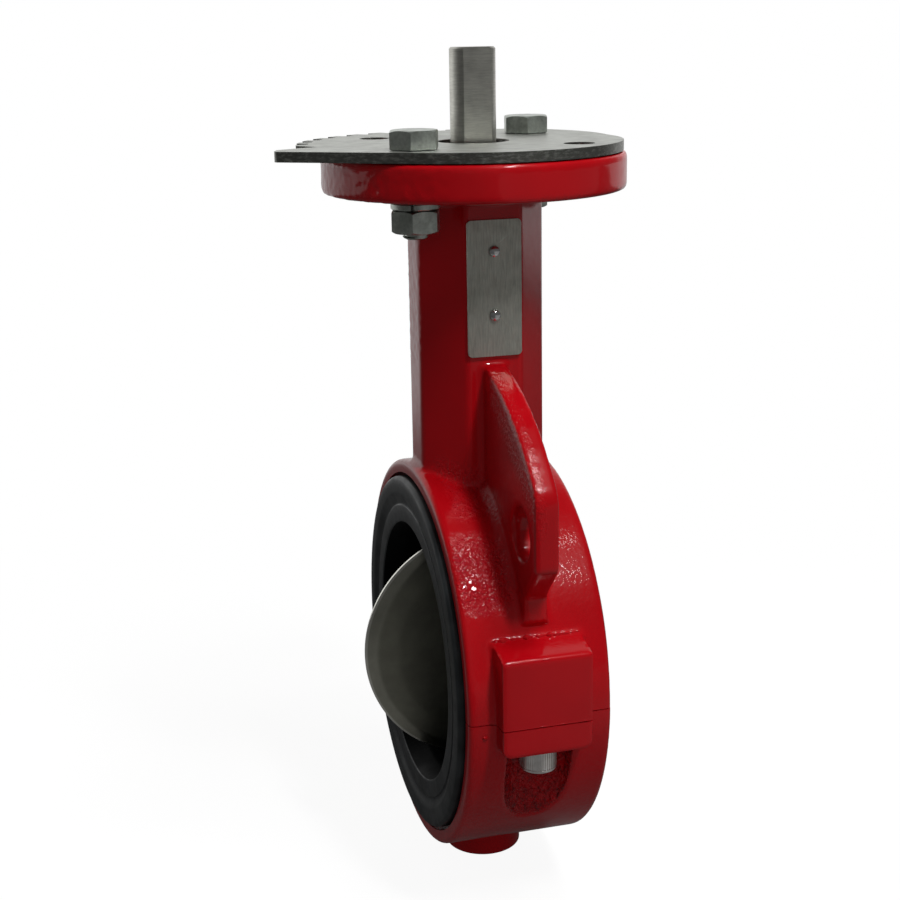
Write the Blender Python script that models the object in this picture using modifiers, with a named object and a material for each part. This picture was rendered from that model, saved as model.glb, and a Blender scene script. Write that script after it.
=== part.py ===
"""Wafer butterfly valve, DN 80 (3 in), with a split cast body, a rubber seat and a one-piece disc and stem.

Metres, +Z up along the stem, the flow along Y. The origin is where the stem's axis crosses the bore's
axis. The disc is drawn fully open: it lies in the YZ plane and closes by a quarter turn about Z.
Each profile of a turned piece is a list of (radius, height) points that runs down its outer side.
"""

import math

import bmesh
import bpy
from mathutils import Matrix

# Shared
CLEARANCE = 0.0003
OVERRUN = 0.002
ROUND_SIDES = 56
STEM_SIDES = 36
HOLE_SIDES = 24
SMALL_SIDES = 16

# Body ring
BODY_RADIUS = 0.0619
BODY_WIDTH = 0.0436
BODY_EDGE = 0.0012
BODY_BORE_RADIUS = 0.0435
GROOVE_RADIUS = 0.0458
GROOVE_WIDTH = 0.0120
RECESS_RADIUS = 0.0577
RECESS_DEPTH = 0.0050

# Neck, a column with eight faces, and the round top flange
NECK_HALF_WIDTH = 0.0193
NECK_HALF_DEPTH = 0.0197
NECK_SIDE_FACE = 0.0168
NECK_FRONT_FACE = 0.0129
NECK_EDGE = 0.0020
NECK_FLARE = 0.0030
FLANGE_TOP = 0.1579
FLANGE_RADIUS = 0.0460
FLANGE_THICKNESS = 0.0111
FLANGE_EDGE = 0.0012
FLANGE_PITCH_RADIUS = 0.0350
FLANGE_HOLE_RADIUS = 0.0046

# Side wings, which centre the valve between the pipe flange bolts
WING_THICKNESS = 0.0073
WING_EDGE = 0.0010
WING_REACH = 0.0676
WING_TOP = 0.1003
WING_SHOULDER_X = 0.0450
WING_SHOULDER_Z = 0.0913
WING_CORNER_Z = 0.0687
WING_SHOULDER_ROUND = 0.0800
WING_CORNER_ROUND = 0.0090
WING_UNDERSIDE_Z = 0.0465
WING_RIB_X = 0.0572
WING_RIB_TOP = 0.0355
WING_RIB_FOOT = 0.0275
WING_SMALL_ROUND = 0.0012
WING_HOLE_PLACE = 0.0539
WING_HOLE_RADIUS = 0.0078

# Joint lugs of the split body, with their bolt pockets
LUG_REACH = 0.0685
LUG_WIDTH = 0.0274
LUG_HEIGHT = 0.0212
LUG_RISE = 0.0023
LUG_EDGE = 0.0015
LOWER_LUG_DEPTH = 0.0086
POCKET_RADIUS = 0.0100
BODY_BOLT_PLACE = 0.0586
BODY_BOLT_RADIUS = 0.0030
BODY_BOLT_HEAD_RADIUS = 0.0054
BODY_BOLT_HEAD_HEIGHT = 0.0080
BODY_BOLT_HEAD_EDGE = 0.0007
BODY_BOLT_LENGTH = 0.0230
BODY_BOLT_SOCKET_FLATS = 0.0050
BODY_BOLT_SOCKET_DEPTH = 0.0040

# Blind boss under the lower body
BOSS_RADIUS = 0.0123
BOSS_FOOT = 0.0711
BOSS_EDGE = 0.0010

# Disc and stem, one piece
DISC_RADIUS = 0.0386
DISC_TIP_THICKNESS = 0.0014
DISC_LAND_WIDTH = 0.0048
DISC_LAND_THICKNESS = 0.0052
DISC_STEP = 0.0003
DISC_MIDDLE_THICKNESS = 0.0090
HUB_RADIUS = 0.0095
HUB_HEIGHT = 0.0090
SWELL_THICKNESS = 0.0180
SWELL_WIDTH = 0.0300
STEM_RADIUS = 0.0069
STEM_PROJECTION = 0.0307
STEM_FLATS = 0.0108
STEM_EDGE = 0.0008
STUB_LENGTH = 0.0270

# Seat
SEAT_PROUD = 0.0019
SEAT_RIM_GAP = 0.0012
SEAT_BEAD_INNER = 0.0476
SEAT_BEAD_CREST = 0.0500
SEAT_BEAD_ROUND = 0.0016
SEAT_BAND_DROP = 0.0008
SEAT_LIP_RADIUS = 0.0415
SEAT_LIP_DEPTH = 0.0070

# Bushings and stem seal
BUSH_WALL = 0.0022
UPPER_BUSH_LENGTH = 0.0300
SEAL_LENGTH = 0.0060
SEAL_BELOW_TOP = 0.0010
SEAL_LIP_DEPTH = 0.0030
SEAL_LIP_WALL = 0.0006
LOWER_BUSH_LENGTH = 0.0160

# Notch plate
PLATE_THICKNESS = 0.0030
PLATE_RADIUS = 0.0450
PLATE_SECTOR_RADIUS = 0.0532
PLATE_CENTRE_RADIUS = 0.0108
PLATE_NOTCHES = 10
PLATE_NOTCH_PITCH = math.radians(10)
PLATE_FIRST_NOTCH = math.radians(166)
PLATE_NOTCH_DEPTH = 0.0036
PLATE_NOTCH_WIDTH = 0.0046
PLATE_SECTOR_START = math.radians(138)
PLATE_SECTOR_END = math.radians(263)
PLATE_BLEND_START = math.radians(96)
TAB_REACH = 0.0640
TAB_ANGLE = math.radians(281.3)
TAB_END_WIDTH = 0.0062
TAB_ROOT_RADIUS = 0.0480
TAB_ROOT_ANGLE = math.radians(271)
TAB_ROUND = 0.0022

# Plate bolts, with their lock washers and nuts
PLATE_BOLT_RADIUS = 0.0039
HEX_FLATS = 0.0130
HEX_CHAMFER = 0.0009
PLATE_BOLT_HEAD_HEIGHT = 0.0053
NUT_HEIGHT = 0.0065
NUT_BORE_RADIUS = 0.0042
BOLT_TIP = 0.0018
BOLT_TIP_EDGE = 0.0008
WASHER_RADIUS = 0.0071
WASHER_THICKNESS = 0.0018
WASHER_SLIT = 0.0010
FRONT_HEX_TURN = math.radians(-21)
REAR_HEX_TURN = math.radians(-13)

# Nameplate, on the neck's near face
NAMEPLATE_WIDTH = 0.0167
NAMEPLATE_HEIGHT = 0.0407
NAMEPLATE_THICKNESS = 0.0007
NAMEPLATE_ROUND = 0.0013
NAMEPLATE_MIDDLE = 0.1195
PIN_OFFSETS = (0.0110, -0.0080)
PIN_RADIUS = 0.0009
PIN_HEAD_RADIUS = 0.0017
PIN_HEAD_HEIGHT = 0.0010
PIN_LENGTH = 0.0060

# Worked out from the sizes above
HALF_WIDTH = BODY_WIDTH / 2
SEAT_BORE_RADIUS = DISC_RADIUS + CLEARANCE
SEAT_RADIUS = RECESS_RADIUS - SEAT_RIM_GAP
STEM_BORE_RADIUS = STEM_RADIUS + CLEARANCE
BUSH_RADIUS = STEM_BORE_RADIUS + BUSH_WALL
BUSH_SEAT_RADIUS = BUSH_RADIUS + CLEARANCE
SEAL_FOOT = FLANGE_TOP - SEAL_BELOW_TOP - SEAL_LENGTH
UPPER_BUSH_FOOT = SEAL_FOOT - CLEARANCE - UPPER_BUSH_LENGTH
BUSH_SEAT_FLOOR = UPPER_BUSH_FOOT - CLEARANCE
FLANGE_FOOT = FLANGE_TOP - FLANGE_THICKNESS
PLATE_FOOT = FLANGE_TOP + CLEARANCE
PLATE_TOP = PLATE_FOOT + PLATE_THICKNESS
STEM_TOP = FLANGE_TOP + STEM_PROJECTION
STUB_FOOT = DISC_RADIUS + STUB_LENGTH
BOLT_PLACE = FLANGE_PITCH_RADIUS / math.sqrt(2)
ARC_STEPS = 3
EDGE_STEPS = 2
LARGE_ROUND = 0.0030
LARGE_FACET = math.radians(15)
SMALL_FACET = math.radians(30)


def new_collection(name):
    """Return a new collection of the scene."""
    collection = bpy.data.collections.new(name)
    bpy.context.scene.collection.children.link(collection)
    return collection


def clear_scene():
    """Remove every object that the file starts with."""
    for item in list(bpy.data.objects):
        bpy.data.objects.remove(item, do_unlink=True)


def finish(name, colour, roughness, metallic):
    """Return a Principled material."""
    material = bpy.data.materials.new(name)
    material.use_nodes = True
    shader = material.node_tree.nodes["Principled BSDF"]
    shader.inputs["Base Color"].default_value = (*colour, 1)
    shader.inputs["Roughness"].default_value = roughness
    shader.inputs["Metallic"].default_value = metallic
    material.diffuse_color = (*colour, 1)
    return material


def add_mesh(name, mesh):
    """Put a mesh into the scene as a helper, until something makes it a part."""
    item = bpy.data.objects.new(name, mesh)
    HELPERS.objects.link(item)
    item.hide_render = True
    item.display_type = "WIRE"
    return item


def make_part(item, name, material):
    """Turn a helper into one of the valve's pieces."""
    HELPERS.objects.unlink(item)
    PARTS.objects.link(item)
    item.name = name
    item.hide_render = False
    item.display_type = "TEXTURED"
    item.data.materials.clear()
    item.data.materials.append(material)
    item.data.shade_smooth()
    item.data.set_sharp_from_angle(angle=math.radians(30))
    return item


def arc(middle_r, middle_z, radius, start, end, steps=ARC_STEPS):
    """Return points of an arc, with its angles in degrees from the outward direction."""
    points = []
    for step in range(steps + 1):
        angle = math.radians(start + (end - start) * step / steps)
        points.append((middle_r + radius * math.cos(angle), middle_z + radius * math.sin(angle)))
    return points


def rounded(corners):
    """Return the outline through (x, y, radius) corners, each with its rounding."""
    points = []
    count = len(corners)
    for index, (x, y, radius) in enumerate(corners):
        if not radius:
            points.append((x, y))
            continue
        before = corners[index - 1]
        after = corners[(index + 1) % count]
        into = math.atan2(before[1] - y, before[0] - x)
        out = math.atan2(after[1] - y, after[0] - x)
        turn = (out - into + math.pi) % math.tau - math.pi
        reach = radius / math.tan(abs(turn) / 2)
        middle = into + turn / 2
        far = radius / math.sin(abs(turn) / 2)
        centre = (x + far * math.cos(middle), y + far * math.sin(middle))
        first = (x + reach * math.cos(into), y + reach * math.sin(into))
        last = (x + reach * math.cos(out), y + reach * math.sin(out))
        start = math.atan2(first[1] - centre[1], first[0] - centre[0])
        sweep = math.atan2(last[1] - centre[1], last[0] - centre[0]) - start
        sweep = (sweep + math.pi) % math.tau - math.pi
        facet = LARGE_FACET if radius > LARGE_ROUND else SMALL_FACET
        steps = max(2, round(abs(sweep) / facet))
        for step in range(steps + 1):
            angle = start + sweep * step / steps
            points.append((centre[0] + radius * math.cos(angle), centre[1] + radius * math.sin(angle)))
    return points


def turned(name, profile, closed, sides=ROUND_SIDES):
    """Return a shape turned about the Z axis from a (radius, height) profile.

    Like a rod, it is turned by half a facet, so that a flat and not an edge faces X and Y. Edges of
    two crossing shapes then don't meet, which an exact cut needs.
    """
    mesh = bpy.data.meshes.new(name)
    points = [(radius, 0, height) for radius, height in profile]
    edges = [(index, index + 1) for index in range(len(points) - 1)]
    if closed:
        edges.append((len(points) - 1, 0))
    mesh.from_pydata(points, edges, [])
    item = add_mesh(name, mesh)
    screw = item.modifiers.new("Turn", "SCREW")
    screw.axis = "Z"
    screw.angle = math.tau
    screw.screw_offset = 0
    screw.steps = sides
    screw.render_steps = sides
    screw.use_merge_vertices = True
    screw.merge_threshold = 0.00001
    return turned_by(settled(item), math.pi / sides, "Z")


def settled(item):
    """Replace an object's mesh by its evaluated one, and drop the modifiers."""
    bpy.context.view_layer.update()
    graph = bpy.context.evaluated_depsgraph_get()
    mesh = bpy.data.meshes.new_from_object(item.evaluated_get(graph))
    item.modifiers.clear()
    item.data = mesh
    return item


def rod(name, radius, foot, top, sides=HOLE_SIDES):
    """Return an upright prism on the Z axis, a cylinder with enough sides.

    A prism whose sides are a multiple of four has a face towards X, and a hexagon has a corner there.
    """
    mesh = bpy.data.meshes.new(name)
    shape = bmesh.new()
    bmesh.ops.create_cone(
        shape, cap_ends=True, segments=sides, radius1=radius, radius2=radius, depth=top - foot
    )
    bmesh.ops.translate(shape, verts=shape.verts, vec=(0, 0, (foot + top) / 2))
    shape.to_mesh(mesh)
    shape.free()
    return turned_by(add_mesh(name, mesh), math.pi / sides, "Z")


def box(name, low, high, edge=0):
    """Return a box between two corners, with rounded edges where asked."""
    mesh = bpy.data.meshes.new(name)
    shape = bmesh.new()
    bmesh.ops.create_cube(shape, size=1)
    spans = [high[axis] - low[axis] for axis in range(3)]
    middle = [(high[axis] + low[axis]) / 2 for axis in range(3)]
    bmesh.ops.scale(shape, verts=shape.verts, vec=spans)
    bmesh.ops.translate(shape, verts=shape.verts, vec=middle)
    shape.to_mesh(mesh)
    shape.free()
    item = add_mesh(name, mesh)
    if edge:
        round_edges(item, edge)
    return item


def round_edges(item, width, segments=2):
    """Round the sharp edges of a shape."""
    bevel = item.modifiers.new("Round", "BEVEL")
    bevel.width = width
    bevel.segments = segments
    bevel.limit_method = "ANGLE"
    bevel.angle_limit = math.radians(30)
    return settled(item)


def slab(name, outlines, thickness):
    """Return a flat plate on the XY plane, from one outline and any holes in it."""
    curve = bpy.data.curves.new(name, "CURVE")
    curve.dimensions = "2D"
    curve.fill_mode = "BOTH"
    curve.extrude = thickness / 2
    for points in outlines:
        spline = curve.splines.new("POLY")
        spline.points.add(len(points) - 1)
        spline.use_cyclic_u = True
        for place, (x, y) in zip(spline.points, points):
            place.co = (x, y, 0, 1)
    source = bpy.data.objects.new(name, curve)
    HELPERS.objects.link(source)
    bpy.context.view_layer.update()
    graph = bpy.context.evaluated_depsgraph_get()
    mesh = bpy.data.meshes.new_from_object(source.evaluated_get(graph))
    bpy.data.objects.remove(source, do_unlink=True)
    shape = bmesh.new()
    shape.from_mesh(mesh)
    bmesh.ops.remove_doubles(shape, verts=shape.verts, dist=0.00001)
    bmesh.ops.recalc_face_normals(shape, faces=shape.faces)
    shape.to_mesh(mesh)
    shape.free()
    return add_mesh(name, mesh)


def circle(x, y, radius, sides=HOLE_SIDES):
    """Return the points of a circle."""
    turns = [math.tau * side / sides for side in range(sides)]
    return [(x + radius * math.cos(turn), y + radius * math.sin(turn)) for turn in turns]


def moved(item, x=0, y=0, z=0):
    """Shift a shape, in its mesh."""
    item.data.transform(Matrix.Translation((x, y, z)))
    return item


def turned_by(item, angle, axis):
    """Turn a shape about one of the frame's axes, in its mesh."""
    item.data.transform(Matrix.Rotation(angle, 4, axis))
    return item


def mirrored(item, name):
    """Return a copy of a shape on the other side of the YZ plane."""
    mesh = item.data.copy()
    mesh.transform(Matrix.Scale(-1, 4, (1, 0, 0)))
    mesh.flip_normals()
    return add_mesh(name, mesh)


def boolean(item, others, operation):
    """Join, cut or trim a shape with several others in one step."""
    group = bpy.data.collections.new(f"{item.name} {operation.lower()}")
    HELPERS.children.link(group)
    for other in others:
        HELPERS.objects.unlink(other)
        group.objects.link(other)
    step = item.modifiers.new(group.name, "BOOLEAN")
    step.operation = operation
    step.solver = "EXACT"
    step.operand_type = "COLLECTION"
    step.collection = group


def join(item, *others):
    """Fuse other shapes to a shape."""
    boolean(item, others, "UNION")
    return item


def cut(item, *others):
    """Cut other shapes out of a shape."""
    boolean(item, others, "DIFFERENCE")
    return item


def stand(item, x, y, turn=0):
    """Stand an upright shape at a place, along with the helpers that shape it."""
    for step in item.modifiers:
        for helper in step.collection.objects:
            helper.parent = item
    item.location = (x, y, 0)
    item.rotation_euler.z = turn
    return item


def ring_blank():
    """Return the body's outer ring as a solid drum along Y, with rounded rims."""
    inner = BODY_RADIUS - BODY_EDGE
    rim = HALF_WIDTH - BODY_EDGE
    profile = [(0, HALF_WIDTH)]
    profile += arc(inner, rim, BODY_EDGE, 90, 0, EDGE_STEPS)
    profile += arc(inner, -rim, BODY_EDGE, 0, -90, EDGE_STEPS)
    profile.append((0, -HALF_WIDTH))
    drum = turned("ring blank", profile, False)
    return turned_by(drum, math.radians(90), "X")


def bore_cutter():
    """Return what the body's bore, its seat groove and its two face recesses take away."""
    half_groove = GROOVE_WIDTH / 2
    recess = HALF_WIDTH - RECESS_DEPTH
    end = HALF_WIDTH + OVERRUN
    profile = [
        (0, end),
        (RECESS_RADIUS, end),
        (RECESS_RADIUS, recess),
        (BODY_BORE_RADIUS, recess),
        (BODY_BORE_RADIUS, half_groove),
        (GROOVE_RADIUS, half_groove),
        (GROOVE_RADIUS, -half_groove),
        (BODY_BORE_RADIUS, -half_groove),
        (BODY_BORE_RADIUS, -recess),
        (RECESS_RADIUS, -recess),
        (RECESS_RADIUS, -end),
        (0, -end),
    ]
    cutter = turned("bore cutter", profile, False)
    return turned_by(cutter, math.radians(90), "X")


def neck_blank(foot, top):
    """Return the neck, a column with four square faces and four slanted ones between them."""
    side = NECK_SIDE_FACE / 2
    front = NECK_FRONT_FACE / 2
    quarter = [(NECK_HALF_WIDTH, side), (front, NECK_HALF_DEPTH)]
    corners = []
    for x_sign, y_sign in ((1, 1), (-1, 1), (-1, -1), (1, -1)):
        ordered = quarter if x_sign == y_sign else reversed(quarter)
        corners += [(x_sign * x, y_sign * y, NECK_EDGE) for x, y in ordered]
    return moved(slab("neck blank", [rounded(corners)], top - foot), z=(foot + top) / 2)


def flange_blank():
    """Return the round top flange."""
    inner = FLANGE_RADIUS - FLANGE_EDGE
    profile = [(0, FLANGE_TOP)]
    profile += arc(inner, FLANGE_TOP - FLANGE_EDGE, FLANGE_EDGE, 90, 0, EDGE_STEPS)
    profile += arc(inner, FLANGE_FOOT + FLANGE_EDGE, FLANGE_EDGE, 0, -90, EDGE_STEPS)
    flare_foot = FLANGE_FOOT - NECK_FLARE - NECK_EDGE
    profile += [(NECK_HALF_WIDTH + NECK_FLARE, FLANGE_FOOT), (NECK_HALF_WIDTH - NECK_EDGE, flare_foot)]
    profile.append((0, flare_foot))
    return turned("flange blank", profile, False)


def wing_blank():
    """Return one side wing, which runs from the neck down to a short rib on the ring."""
    inside = BODY_BORE_RADIUS
    corners = [
        (0, WING_TOP, 0),
        (WING_SHOULDER_X, WING_SHOULDER_Z, WING_SHOULDER_ROUND),
        (WING_REACH, WING_CORNER_Z, WING_CORNER_ROUND),
        (WING_REACH, WING_UNDERSIDE_Z, WING_SMALL_ROUND),
        (WING_RIB_X, WING_RIB_TOP, WING_SMALL_ROUND),
        (WING_RIB_X, WING_RIB_FOOT, 0),
        (inside, WING_RIB_FOOT, 0),
        (0, inside, 0),
    ]
    wing = slab("wing blank", [rounded(corners)], WING_THICKNESS)
    turned_by(wing, math.radians(90), "X")
    return round_edges(wing, WING_EDGE)


def upper_lug_blank():
    """Return one upper joint lug, whose top slopes up towards the ring."""
    inside = BODY_BORE_RADIUS + CLEARANCE
    rise = LUG_RISE * (LUG_REACH - inside) / (LUG_REACH - WING_RIB_X)
    foot = -2 * LUG_EDGE
    corners = [(inside, foot), (LUG_REACH, foot), (LUG_REACH, LUG_HEIGHT), (inside, LUG_HEIGHT + rise)]
    lug = slab("upper lug blank", [corners], LUG_WIDTH)
    turned_by(lug, math.radians(90), "X")
    return round_edges(lug, LUG_EDGE)


def lower_lug_blank():
    """Return one lower joint lug, which hangs under the split plane."""
    half = LUG_WIDTH / 2
    corners = [
        (-half, LOWER_LUG_DEPTH, 0),
        (-half, -LOWER_LUG_DEPTH, 2 * LUG_EDGE),
        (half, -LOWER_LUG_DEPTH, 2 * LUG_EDGE),
        (half, LOWER_LUG_DEPTH, 0),
    ]
    inside = BODY_BORE_RADIUS + CLEARANCE
    lug = slab("lower lug blank", [rounded(corners)], LUG_REACH - inside)
    turned_by(lug, math.radians(90), "X")
    turned_by(lug, math.radians(90), "Z")
    return moved(lug, x=(LUG_REACH + inside) / 2)


def bolt_holes(name, radius, foot, top):
    """Return upright hole cutters at the four places of the top flange's bolts."""
    holes = []
    for x_side in (1, -1):
        for y_side in (1, -1):
            hole = rod(f"{name} {x_side} {y_side}", radius, foot, top)
            holes.append(moved(hole, x_side * BOLT_PLACE, y_side * BOLT_PLACE))
    return holes


def split_box(name, foot, top):
    """Return a box over the whole body, between two heights."""
    reach = LUG_REACH + OVERRUN
    depth = HALF_WIDTH + OVERRUN
    return box(name, (-reach, -depth, foot), (reach, depth, top))


def upper_body():
    """Make the upper half of the body, with its neck, flange, wings and lugs."""
    body = ring_blank()
    wing = wing_blank()
    lug = upper_lug_blank()
    neck = neck_blank(math.sqrt(BODY_BORE_RADIUS**2 - NECK_HALF_WIDTH**2), FLANGE_FOOT + FLANGE_EDGE)
    far_wing = mirrored(wing, "far wing blank")
    far_lug = mirrored(lug, "far lug blank")
    flange = flange_blank()
    cutters = [bore_cutter(), split_box("upper trim", -BODY_RADIUS - OVERRUN, CLEARANCE / 2)]
    cutters.append(rod("stem bore", STEM_BORE_RADIUS + CLEARANCE, 0, BUSH_SEAT_FLOOR + OVERRUN, STEM_SIDES))
    cutters.append(rod("bush seat", BUSH_SEAT_RADIUS, BUSH_SEAT_FLOOR, FLANGE_TOP + OVERRUN, STEM_SIDES))
    hole_foot = FLANGE_FOOT - OVERRUN
    cutters += bolt_holes("flange hole", FLANGE_HOLE_RADIUS, hole_foot, FLANGE_TOP + OVERRUN)
    half = WING_THICKNESS / 2 + OVERRUN
    reach = BODY_BOLT_LENGTH - LOWER_LUG_DEPTH
    for side in (1, -1):
        hole = rod(f"wing hole {side}", WING_HOLE_RADIUS, -half, half)
        turned_by(hole, math.radians(90), "X")
        cutters.append(moved(hole, side * WING_HOLE_PLACE, 0, WING_HOLE_PLACE))
        thread = rod(f"thread {side}", BODY_BOLT_RADIUS + CLEARANCE, -OVERRUN, reach)
        cutters.append(moved(thread, side * BODY_BOLT_PLACE))
    for offset in PIN_OFFSETS:
        hole = rod(f"pin hole {offset}", PIN_RADIUS + CLEARANCE, -PIN_LENGTH, OVERRUN, SMALL_SIDES)
        turned_by(hole, math.radians(90), "Y")
        cutters.append(moved(hole, NECK_HALF_WIDTH, 0, NAMEPLATE_MIDDLE + offset))
    join(body, neck, flange, wing, far_wing, lug, far_lug)
    cut(body, *cutters)
    return make_part(body, "upper_body", RED_PAINT)


def lower_body():
    """Make the lower half of the body, with its lugs, bolt pockets and blind boss."""
    body = ring_blank()
    root = -(GROOVE_RADIUS + BODY_RADIUS) / 2
    rim = BOSS_RADIUS - BOSS_EDGE
    profile = [(0, root), (BOSS_RADIUS, root)]
    profile += arc(rim, -BOSS_FOOT + BOSS_EDGE, BOSS_EDGE, 0, -90, EDGE_STEPS)
    profile.append((0, -BOSS_FOOT))
    roof = -LOWER_LUG_DEPTH / 2
    pockets = []
    cutters = [bore_cutter(), split_box("lower trim", -CLEARANCE / 2, BODY_RADIUS + OVERRUN)]
    cutters.append(rod("lower bush seat", BUSH_SEAT_RADIUS, -STUB_FOOT - CLEARANCE, 0, STEM_SIDES))
    hole_foot = -LOWER_LUG_DEPTH - OVERRUN
    for side in (1, -1):
        pocket = rod(f"pocket {side}", POCKET_RADIUS, -BODY_RADIUS, roof, STEM_SIDES)
        pockets.append(moved(pocket, side * BODY_BOLT_PLACE))
        hole = rod(f"bolt hole {side}", BODY_BOLT_RADIUS + CLEARANCE, hole_foot, OVERRUN)
        cutters.append(moved(hole, side * BODY_BOLT_PLACE))
    lug = lower_lug_blank()
    far_lug = mirrored(lug, "far lower lug blank")
    boss = turned("boss blank", profile, False, STEM_SIDES)
    cut(body, *pockets)
    join(body, boss, lug, far_lug)
    cut(body, *cutters)
    return make_part(body, "lower_body", RED_PAINT)


def seat_profile():
    """Return the seat's section, down its outer side and back up its bore."""
    crest = HALF_WIDTH + SEAT_PROUD
    band = crest - SEAT_BAND_DROP
    shelf = HALF_WIDTH - RECESS_DEPTH + CLEARANCE
    back = BODY_BORE_RADIUS - CLEARANCE
    tongue = GROOVE_RADIUS - CLEARANCE
    half_tongue = GROOVE_WIDTH / 2 - CLEARANCE
    lip_round = SEAT_LIP_RADIUS - SEAT_BORE_RADIUS
    face = []
    for step in range(ARC_STEPS + 1):
        angle = math.radians(90) * step / ARC_STEPS
        radius = SEAT_LIP_RADIUS - lip_round * math.cos(angle)
        face.append((radius, band - SEAT_LIP_DEPTH + SEAT_LIP_DEPTH * math.sin(angle)))
    face.append((SEAT_BEAD_INNER, band))
    face.append((SEAT_BEAD_CREST, crest))
    face += arc(SEAT_RADIUS - SEAT_BEAD_ROUND, crest - SEAT_BEAD_ROUND, SEAT_BEAD_ROUND, 90, 0, EDGE_STEPS)
    half = face + [(SEAT_RADIUS, shelf), (back, shelf), (back, half_tongue), (tongue, half_tongue)]
    return half + [(radius, -height) for radius, height in reversed(half)]


def seat():
    """Make the rubber seat, with flats and holes where the stem passes it."""
    body = turned("seat blank", seat_profile(), True)
    turned_by(body, math.radians(90), "X")
    hub_reach = DISC_RADIUS + CLEARANCE
    flats = rod("seat flats", HUB_RADIUS + 2 * CLEARANCE, -hub_reach, hub_reach)
    hole = rod("seat stem hole", STEM_BORE_RADIUS, -GROOVE_RADIUS - OVERRUN, GROOVE_RADIUS + OVERRUN)
    cut(body, flats, hole)
    return make_part(body, "seat", RUBBER)


def disc_stem():
    """Make the disc, its swelling along the stem, its end hubs, the stem and the lower stub."""
    tip = DISC_TIP_THICKNESS / 2
    land = DISC_LAND_THICKNESS / 2
    land_radius = DISC_RADIUS - DISC_LAND_WIDTH
    face = DISC_MIDDLE_THICKNESS / 2
    side = [
        (0, face),
        (land_radius * 0.55, face - (face - land) * 0.30),
        (land_radius - DISC_STEP, land + DISC_STEP),
        (land_radius, land),
        (DISC_RADIUS - DISC_LAND_WIDTH * 0.30, (land + tip) * 0.62),
        (DISC_RADIUS, tip),
    ]
    profile = side + [(radius, -height) for radius, height in reversed(side)]
    disc = turned("disc blank", profile, False)
    turned_by(disc, math.radians(90), "Y")
    swell = bmesh.new()
    bmesh.ops.create_uvsphere(swell, u_segments=HOLE_SIDES, v_segments=SMALL_SIDES, radius=1)
    scale = (SWELL_THICKNESS / 2, SWELL_WIDTH / 2, DISC_RADIUS - CLEARANCE)
    bmesh.ops.scale(swell, verts=swell.verts, vec=scale)
    mesh = bpy.data.meshes.new("swell blank")
    swell.to_mesh(mesh)
    swell.free()
    joined = [add_mesh("swell blank", mesh)]
    rim = STEM_RADIUS - STEM_EDGE
    for name, sign in (("upper hub", 1), ("lower hub", -1)):
        hub = rod(name, HUB_RADIUS, DISC_RADIUS - HUB_HEIGHT, DISC_RADIUS)
        if sign < 0:
            turned_by(hub, math.radians(180), "X")
        joined.append(hub)
    stem_profile = [(0, STEM_TOP), (rim, STEM_TOP), (STEM_RADIUS, STEM_TOP - STEM_EDGE)]
    stem_profile += [(STEM_RADIUS, -STUB_FOOT + STEM_EDGE), (rim, -STUB_FOOT), (0, -STUB_FOOT)]
    join(disc, *joined, turned("stem blank", stem_profile, False, STEM_SIDES))
    flats = []
    for sign in (1, -1):
        far = STEM_RADIUS + OVERRUN
        low, high = sorted((sign * STEM_FLATS / 2, sign * far))
        flats.append(box(f"stem flat {sign}", (low, -far, PLATE_FOOT), (high, far, STEM_TOP + OVERRUN)))
    cut(disc, *flats)
    return make_part(disc, "disc_stem", STEEL)


def sleeve(name, part_name, foot, length, material):
    """Make a plain guide bush round the stem."""
    bore = STEM_RADIUS + CLEARANCE
    top = foot + length
    profile = [(BUSH_RADIUS, top), (BUSH_RADIUS, foot), (bore, foot), (bore, top)]
    return make_part(turned(name, profile, True, STEM_SIDES), part_name, material)


def stem_seal():
    """Make the cup seal round the stem, with a groove between its two lips."""
    top = FLANGE_TOP - SEAL_BELOW_TOP
    foot = top - SEAL_LENGTH
    bore = STEM_RADIUS + CLEARANCE
    middle = (bore + BUSH_RADIUS) / 2
    floor = top - SEAL_LIP_DEPTH
    profile = [
        (BUSH_RADIUS, top),
        (BUSH_RADIUS, foot),
        (bore, foot),
        (bore, top),
        (bore + SEAL_LIP_WALL, top),
        (middle, floor),
        (BUSH_RADIUS - SEAL_LIP_WALL, top),
    ]
    return make_part(turned("seal blank", profile, True, STEM_SIDES), "stem_seal", RUBBER)


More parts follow.
